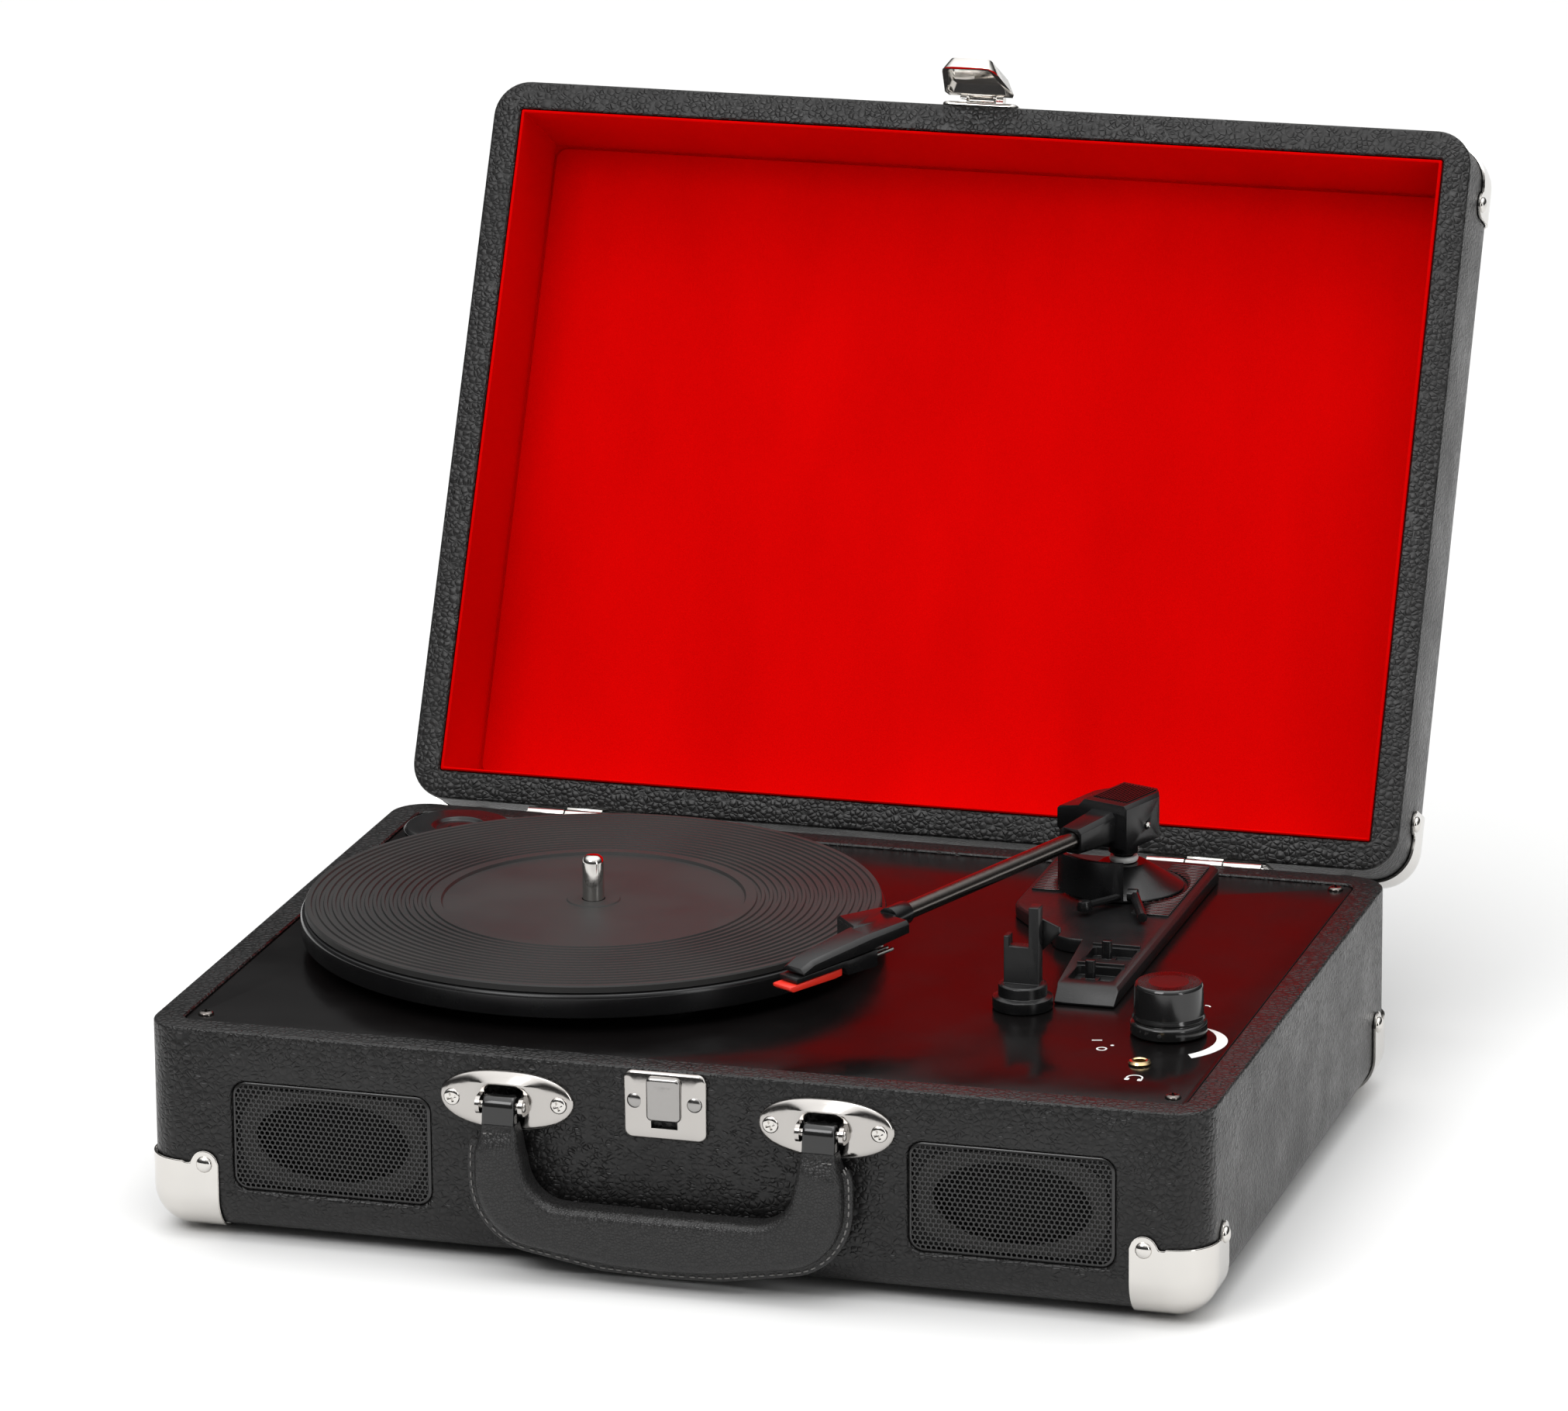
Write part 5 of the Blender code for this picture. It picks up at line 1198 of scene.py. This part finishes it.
def build_bracket(side_name, x, node):
    outer = squared_oval((x, PIN.z), 22.3 * MM, 9.8 * MM, 72, 0.86, 0.94)
    window = squared_oval((x, PIN.z - 1.2 * MM), 6.5 * MM, 7.4 * MM, 72, 0.55, 0.55)
    whole = loft(bracket_surface(outer, window, x), closed=True)
    for ear in (-1, 1):
        ear_x = x + ear * 7.2 * MM
        join(whole, pin_ear(ear_x, PIN.y, PIN.z, 3 * MM, 16, 0.8 * MM, 3.4 * MM, 0.7 * MM))
        head = shift(ear_x + ear * 0.7 * MM, PIN.y, PIN.z) @ turn(90 * ear, "Y")
        join(whole, dome(1.7 * MM, 0.9 * MM, 28), head)
    join(whole, rod((x - 7.6 * MM, PIN.y, PIN.z), (x + 7.6 * MM, PIN.y, PIN.z), 1.5 * MM, 24))
    # The bracket plate is painted darker than chrome: painted shade for dark reflections.
    piece("bracket_plate_" + side_name, whole, "plating_dimmed_for_shade", "base", (node,), sharp=35)
    for end, dx in (("outer", -17.8 * MM), ("inner", 17.8 * MM)):
        place = on_front(x + dx, PIN.z, 1.75 * MM)
        screw_piece("bracket_screw_%s_%s" % (side_name, end), 2.8 * MM, 1.1 * MM, "base", place)


def soften(bm, width, segments=2):
    """Rounds the sharp edges of a shape before it is joined to another."""
    sharp = [e for e in bm.edges if len(e.link_faces) == 2 and e.calc_face_angle() > radians(SHARP)]
    bmesh.ops.bevel(bm, geom=sharp, offset=width, segments=segments, affect="EDGES", clamp_overlap=True)


# ---------------------------------------------------------------- latch


def pressed_plate(width, height, radius, centre, rows):
    """A plate facing the front, built from (inset, out) rows, with corners that stay round."""
    rings = []
    for inset, out in rows:
        corner = max(radius - inset * MM, 0.3 * MM)
        size = (width - 2 * inset * MM, height - 2 * inset * MM)
        rings.append(place_points(rounded_rectangle(*size, corner, 8, centre), "y", FRONT - GAP - out * MM))
    return loft(rings)


PLATE_WIDTH, PLATE_CORNER = 27.5 * MM, 3 * MM
PLATE_ROWS = ((0, 0), (0, 0.45), (0.1, 0.75), (0.4, 1.05), (0.9, 1.25))
PLATE_ROWS += ((2, 1.5), (4, 1.82), (6.5, 2.0), (9, 2.05))
CATCH_ROWS = ((0, 0.6), (0, 2.3), (0.1, 2.8), (0.4, 3.2), (0.9, 3.45))
CATCH_ROWS += ((1.5, 3.5), (1.9, 3.4), (3, 3.6), (5, 3.75))


def build_strike():
    """A pressed plate with a raised catch, a dark slot below it and two domed rivets."""
    top, height = RIM_Z - 0.6 * MM, 22.5 * MM
    centre = top - height / 2
    low, high = centre - 4.6 * MM, top - 1.2 * MM
    slot = block((-4.4 * MM, FRONT - 6 * MM, low - 2.6 * MM), (4.4 * MM, FRONT + 0.2 * MM, low + 1 * MM))
    plate = pressed_plate(PLATE_WIDTH, height, PLATE_CORNER, (0, centre), PLATE_ROWS)
    # The strike is painted darker than chrome, and its catch darker still: painted shade for dark
    # reflections.
    piece("strike_plate", plate, "plating_dimmed_for_shade", "base", ("latch_strike",), cutters=[slot], sharp=30)
    raised = pressed_plate(11.5 * MM, high - low, 1.8 * MM, (0, (high + low) / 2), CATCH_ROWS)
    for side in (-1, 1):
        join(raised, dome(2.7 * MM, 1.2 * MM), on_front(side * 9.8 * MM, centre + 1.5 * MM, 1.3 * MM))
    piece("strike_catch", raised, "plating_dimmed_for_deep_shade", "base", sharp=35)


def build_lid_latch():
    refined("latch_hasp", "chrome", 0.5 * MM, 4)
    low, high = LID_RIM_Z + 0.6 * MM, LID_RIM_Z + 24 * MM
    plate = pressed_plate(PLATE_WIDTH, high - low, PLATE_CORNER, (0, (low + high) / 2), PLATE_ROWS)
    pin_y, pin_z = FRONT - 3.6 * MM, LID_RIM_Z + 5.5 * MM
    for side in (-1, 1):
        ear_x = side * 6.6 * MM
        join(plate, pin_ear(ear_x, pin_y, pin_z, 2.1 * MM, 14, 1 * MM, 2.1 * MM, 1.2 * MM))
        place = on_front(side * 8.5 * MM, LID_RIM_Z + 18.5 * MM, 1.6 * MM)
        join(plate, dome(2.6 * MM, 1.5 * MM), place)
    join(plate, rod((-7 * MM, pin_y, pin_z), (7 * MM, pin_y, pin_z), 0.9 * MM, 20))
    piece("latch_plate_pressed", plate, "chrome", "lid", ("latch_plate",), matrix=OPEN_LID, sharp=30)


# ---------------------------------------------------------------- corner protectors

CORNERS = (("front_left", -1, -1), ("front_right", 1, -1), ("back_left", -1, 1), ("back_right", 1, 1))
REACH = 25 * MM
PROTECTOR_WALL = 0.8 * MM
RIVET_ALONG, RIVET_UP = 20.3 * MM, 23.2 * MM
EAR_RADIUS = 4.5 * MM


def leaf_top(along):
    """The upper edge dips between the corner and the rounded ear that holds the rivet."""
    across = abs(along - RIVET_ALONG)
    ear = RIVET_UP + sqrt(max(0.0, EAR_RADIUS**2 - across**2)) if across < EAR_RADIUS else 0.0
    return max(ear, 23.4 * MM + 1.4 * MM * max(0.0, 1 - along / (14 * MM)) ** 1.5)


def protector_rows(clearance):
    """The rows of one side of the plate: down both walls, then in over the rounded edge."""
    straight, bend = 14, 14
    tops = [leaf_top(REACH - (REACH - CORNER_RADIUS) * i / straight) for i in range(straight)]
    tops += [leaf_top(CORNER_RADIUS * 0.5)] * (bend + 1)
    tops += tops[:straight][::-1]
    rows = [(0, [top + (EDGE_RADIUS - top) * (k / 6) for top in tops]) for k in range(7)]
    for sine, cosine in quarter(10, start=1):
        z = EDGE_RADIUS * (1 - sine) - clearance * sine
        rows.append(((EDGE_RADIUS + clearance) * (1 - cosine), [z] * len(tops)))
    made = []
    for inset, heights in rows:
        radius = max(CORNER_RADIUS + clearance - inset, 0.2 * MM)
        centre = inset + radius - clearance
        plan = [(REACH + (centre - REACH) * i / straight, inset - clearance) for i in range(straight)]
        plan += arc((centre, centre), radius, 270, 180, bend)
        plan += [(y, x) for x, y in plan[:straight][::-1]]
        made.append([Vector((x, y, z)) for (x, y), z in zip(plan, heights)])
    return made


def protector_shape():
    inner, outer = protector_rows(GAP), protector_rows(GAP + PROTECTOR_WALL)
    bm = bmesh.new()
    grids = [[[bm.verts.new(point) for point in row] for row in grid] for grid in (inner, outer)]
    count, width = len(inner), len(inner[0])
    for grid in grids:
        for r in range(count - 1):
            for c in range(width - 1):
                bm.faces.new((grid[r][c], grid[r][c + 1], grid[r + 1][c + 1], grid[r + 1][c]))
    edge = [(0, c) for c in range(width)] + [(r, width - 1) for r in range(1, count)]
    edge += [(count - 1, c) for c in range(width - 2, -1, -1)] + [(r, 0) for r in range(count - 2, 0, -1)]
    for (r0, c0), (r1, c1) in zip(edge, edge[1:] + edge[:1]):
        bm.faces.new((grids[0][r0][c0], grids[0][r1][c1], grids[1][r1][c1], grids[1][r0][c0]))
    recalculate(bm)
    soften(bm, 0.25 * MM)
    out = -(GAP + PROTECTOR_WALL)
    join(bm, dome(2.75 * MM, 1.5 * MM), shift(RIVET_ALONG, out, RIVET_UP) @ turn(90, "X"))
    join(bm, dome(2.75 * MM, 1.5 * MM), shift(out, RIVET_ALONG, RIVET_UP) @ turn(-90, "Y"))
    return bm


def build_protectors():
    for name, sx, sy in CORNERS:
        x, y = sx * CASE_WIDTH / 2, BACK if sy > 0 else FRONT
        for body, z, up, opened in (("base", CASE_LOW.z, 1, Matrix()), ("lid", LID_TOP_Z, -1, OPEN_LID)):
            place = opened @ shift(x, y, z) @ Matrix.Diagonal((-sx, -sy, up, 1))
            label = "%s_%s" % (body, name)
            stands_for = ("corner_" + label,)
            piece("protector_" + label, protector_shape(), "chrome", body, stands_for, matrix=place, sharp=50)


# ---------------------------------------------------------------- tonearm and its plate

TUBE_START, TUBE_END, TUBE_RISE, TUBE_RADIUS = -20 * MM, -133.2 * MM, 0.8 * MM, 2.9 * MM


def ribs_on_plate():
    """The combs of fine ribs on both sides of the pivot's dome."""
    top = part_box("arm_pivot_base")[0].z - GAP
    clear, pitch, rib = 21.4 * MM, 1.7 * MM, 0.85 * MM
    plate_low, plate_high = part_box("arm_plate")
    whole = bmesh.new()
    for side, y_from, y_to in ((-1, -12 * MM, 20 * MM), (1, -30 * MM, 27 * MM)):
        y, last = PIVOT.y + y_from, PIVOT.y + y_to
        while y < last:
            dy = y - PIVOT.y
            reach = max(sqrt(max(0.0, clear**2 - dy**2)), 10 * MM)
            start = plate_low.x + 2.2 * MM if side < 0 else PIVOT.x + reach
            end = PIVOT.x - reach if side < 0 else plate_high.x - 3 * MM
            if end - start > 1.5 * MM:
                join(whole, block((start, y, top - 0.2 * MM), (end, y + rib, top + 0.75 * MM)))
            y += pitch
    soften(whole, 0.18 * MM, 1)
    return whole


def ribs_on_housing():
    whole = bmesh.new()
    step, rib = 1.15 * MM, 0.5 * MM
    for i in range(12):
        u = -6.4 * MM + i * step
        join(whole, block((u, -8.5 * MM, 9.2 * MM), (u + rib, 9.5 * MM, 9.75 * MM)))
    whole.transform(ARM_PLACE)
    return whole


def build_arm():
    refined("arm_plate", "textured_black", 0.35 * MM)
    piece("arm_plate_ribs", ribs_on_plate(), "gloss_black", "base")
    extras = {"arm_housing": ribs_on_housing()}
    for node, look, bevel in (
        ("arm_pivot_base", "black_plastic", 0.3),
        ("arm_pivot_collar", "white_plastic", 0.2),
        ("arm_yoke", "black_plastic", 0.25),
        ("arm_pivot_pin", "chrome", 0.2),
        ("arm_housing", "black_plastic", 0.35),
        ("arm_counterweight", "steel", 0.3),
        ("headshell", "black_plastic", 0.3),
        ("cartridge", "black_plastic", 0.2),
        ("stylus", "stylus_red", 0.3),
        ("arm_rest", "black_plastic", 0.25),
        ("arm_clip", "black_plastic", 0.25),
        ("lift_bar", "black_plastic", 0.25),
        ("cue_lever", "black_plastic", 0.3),
        ("speed_slider", "black_plastic", 0.25),
        ("auto_stop_slider", "black_plastic", 0.25),
    ):
        refined(node, look, bevel * MM, extra=extras.get(node))
    tube = rod((0, TUBE_START, TUBE_RISE), (0, TUBE_END, TUBE_RISE), TUBE_RADIUS, 64)
    piece("tube_drawn", tube, "arm_tube", "arm", ("arm_tube",), matrix=ARM_PLACE)
    build_cartridge_pins()


def build_cartridge_pins():
    """The four plated pins behind the cartridge."""
    head = ARM_PLACE @ shift(0, -127.2 * MM, TUBE_RISE) @ turn(-10, "Z")
    whole = bmesh.new()
    for along in (-3.6, -1.2, 1.2, 3.6):
        start = Vector(((7 + along) * MM, -24.5 * MM, -7 * MM))
        end = start + Vector((0, 8.6 * MM, 0.65 * MM))
        join(whole, rod(start, end, 0.62 * MM, 16))
    piece("cartridge_pins", whole, "chrome", "arm", matrix=head)


# ---------------------------------------------------------------- controls and the rest


def build_knob():
    at = middle("volume_knob")
    low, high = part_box("volume_knob")
    height = high.z - low.z
    profile = in_mm((8, 0.6), (12.3, 0), (12.5, 0.3), (12.4, 3.4), (11.8, 4.0))
    profile += in_mm((11.35, 4.1), (11.3, 4.5), (11.9, 5.0), (11.3, 6.2))
    profile += [
        (11.05 * MM, height - 1.0 * MM),
        (10.6 * MM, height - 0.2 * MM),
        (10.2 * MM, height - 0.02 * MM),
        (9.9 * MM, height - 0.05 * MM),
    ]
    body = turned(rounded_profile(profile, 0.25 * MM), 96)
    here = over("volume_knob", low.z)
    piece("knob_body", body, "gloss_black", "knob", ("volume_knob",), matrix=here, sharp=28)
    cap = [(10.0 * MM, height - 0.3 * MM), (10.0 * MM, height), (9.7 * MM, height + 0.06 * MM)]
    cap += [(5 * MM, height - 0.1 * MM), (0.6 * MM, height - 0.2 * MM)]
    piece("knob_cap", turned(cap, 96), "spun_cap", "knob", matrix=here, sharp=35)
    mark = dome(0.75 * MM, 0.25 * MM, 20)
    place = shift(at.x, at.y - 12.4 * MM, low.z + 1.9 * MM) @ FACING_FRONT
    piece("knob_mark", mark, "rubber", "knob", matrix=place)


def build_jack():
    profile = in_mm((1.85, -8), (2.9, -8), (2.9, 0.1), (3.6, 0.1))
    profile += in_mm((3.7, 0.5), (3.3, 1.1), (2.5, 1.25), (1.95, 1.0))
    bush, place = turned(profile, 64, bore=True), over("headphone_jack", DECK_Z + 0.1 * MM)
    piece("jack_bush", bush, "gold", "base", ("headphone_jack",), matrix=place, sharp=35)


def build_hinges():
    for side in ("left", "right"):
        for leaf in ("hinge_base_leaf_", "hinge_lid_leaf_"):
            refined(leaf + side, "chrome", 0.12 * MM, 2)
        x, y = middle("hinge_base_leaf_" + side).x, BACK + GAP + 0.8 * MM
        for body, z, opened in (("base", RIM_Z - 14 * MM, Matrix()), ("lid", LID_RIM_Z + 13 * MM, OPEN_LID)):
            for end, way in (("outer", -1), ("inner", 1)):
                place = opened @ shift(x + way * 13 * MM, y, z) @ turn(-90, "X")
                label = "hinge_screw_%s_%s_%s" % (body, side, end)
                screw_piece(label, 2.2 * MM, 0.7 * MM, body, place)


def build_small_parts():
    for name, _, _ in CORNERS:
        refined("foot_" + name, "rubber", 0.4 * MM)
    for node, look, bevel, segments in (
        ("rear_socket_plate", "black_plastic", 0.3, 3),
        ("motor", "steel", 0.3, 3),
        ("motor_pulley", "white_plastic", 0.2, 3),
        ("drive_belt", "rubber", 0.1, 1),
        ("volume_potentiometer", "steel", 0.2, 3),
        ("amplifier_board", "board_green", 0.2, 2),
    ):
        refined(node, look, bevel * MM, segments)
    low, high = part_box("adapter_45")
    radius, height, bore, dish = (high.x - low.x) / 2, high.z - low.z, 3.75 * MM, 1.2 * MM
    profile = [(bore, 0), (radius - 1 * MM, 0), (radius, height - dish), (radius - 1.2 * MM, height)]
    profile += [(9 * MM, height), (8 * MM, height - dish), (bore, height - dish)]
    ring = turned(rounded_profile(profile, 0.4 * MM), 96, bore=True)
    place = over("adapter_45", low.z)
    piece("adapter_turned", ring, "black_plastic", "adapter", ("adapter_45",), matrix=place, sharp=35)


# ---------------------------------------------------------------- stage, light and camera


FLOOR_HALF = 14.0
WORLD_STOPS = ((0.0, 0.03), (1.0, 1.0), (0.3, 0.02), (0.5, 0.15), (0.7, 0.62))  # height and grey
WORLD_STRENGTH = 2.16
LIGHTS = (  # name, place, size and power
    ("key", (-0.6, -1.75, 1.74), (1.1, 1.0), 18),
    ("fill", (1.9, -1.3, 0.8), (0.4, 1.4), 8),
    ("top", (0.2, 0.1, 2.1), (1.4, 0.9), 8),
)
LIGHT_AIM = Vector((0, 0, 0.1))
CAMERA_PLACE = Vector((0.78131, -2.68099, 0.94527))  # place, turn and lens were fitted to the photo
CAMERA_YAW, CAMERA_PITCH, CAMERA_ROLL = radians(16.64), radians(-16.17), radians(-0.49)
CAMERA_LENS = 198.85


def build_stage():
    mesh = bpy.data.meshes.new("floor")
    size = FLOOR_HALF
    corners = [(-size, -size, 0), (size, -size, 0), (size, size, 0), (-size, size, 0)]
    mesh.from_pydata(corners, [], [(0, 1, 2, 3)])
    floor = bpy.data.objects.new("floor", mesh)
    bpy.context.scene.collection.objects.link(floor)
    made, _ = new_material("floor_pale", (0.82, 0.82, 0.816), 0.7, Specular_IOR_Level=0.1)
    mesh.materials.append(made)

    world = bpy.data.worlds.new("studio")
    world.use_nodes = True
    nodes, links = world.node_tree.nodes, world.node_tree.links
    background = nodes["Background"]
    coordinates = nodes.new("ShaderNodeTexCoord")
    parts = nodes.new("ShaderNodeSeparateXYZ")
    ramp = nodes.new("ShaderNodeValToRGB")
    links.new(coordinates.outputs["Generated"], parts.inputs["Vector"])
    links.new(parts.outputs["Z"], ramp.inputs["Fac"])
    links.new(ramp.outputs["Color"], background.inputs["Color"])
    stops = ramp.color_ramp.elements
    for element, (place, grey) in zip(stops, WORLD_STOPS[:2]):
        element.position, element.color = place, (grey, grey, grey, 1)
    for place, grey in WORLD_STOPS[2:]:
        stops.new(place).color = (grey, grey, grey, 1)
    background.inputs["Strength"].default_value = WORLD_STRENGTH
    bpy.context.scene.world = world


def build_lights():
    for name, place, size, power in LIGHTS:
        data = bpy.data.lights.new(name, "AREA")
        data.shape = "RECTANGLE"
        data.size, data.size_y = size
        data.energy = power
        lamp = bpy.data.objects.new(name, data)
        lamp.location = place
        lamp.rotation_euler = (LIGHT_AIM - Vector(place)).to_track_quat("-Z", "Y").to_euler()
        bpy.context.scene.collection.objects.link(lamp)


def build_camera():
    """The photograph's view: from the front right, a little above, with a long lens."""
    yaw, pitch, roll = CAMERA_YAW, CAMERA_PITCH, CAMERA_ROLL
    forward = Vector((-sin(yaw) * cos(pitch), cos(yaw) * cos(pitch), sin(pitch)))
    right = Vector((cos(yaw), sin(yaw), 0))
    up = right.cross(forward)
    across = cos(roll) * right + sin(roll) * up
    upward = cos(roll) * up - sin(roll) * right
    data = bpy.data.cameras.new("photo_view")
    data.sensor_fit = "HORIZONTAL"
    data.sensor_width = 36.0
    data.lens = CAMERA_LENS
    data.clip_end = 60
    camera = bpy.data.objects.new("photo_view", data)
    aim = Matrix((across, upward, -forward)).transposed().to_4x4()
    camera.matrix_world = Matrix.Translation(CAMERA_PLACE) @ aim
    bpy.context.scene.collection.objects.link(camera)
    bpy.context.scene.camera = camera


# ---------------------------------------------------------------- build

LOOKS = make_looks()
build_case()
build_lid()
build_deck()
build_speakers()
build_platter()
build_handle()
build_bracket("left", -BRACKET_X, "handle_bracket_left")
build_bracket("right", BRACKET_X, "handle_bracket_right")
build_strike()
build_lid_latch()
build_protectors()
build_arm()
build_knob()
build_jack()
build_hinges()
build_small_parts()
build_stage()
build_lights()
build_camera()
bpy.context.scene.view_settings.view_transform = "Standard"
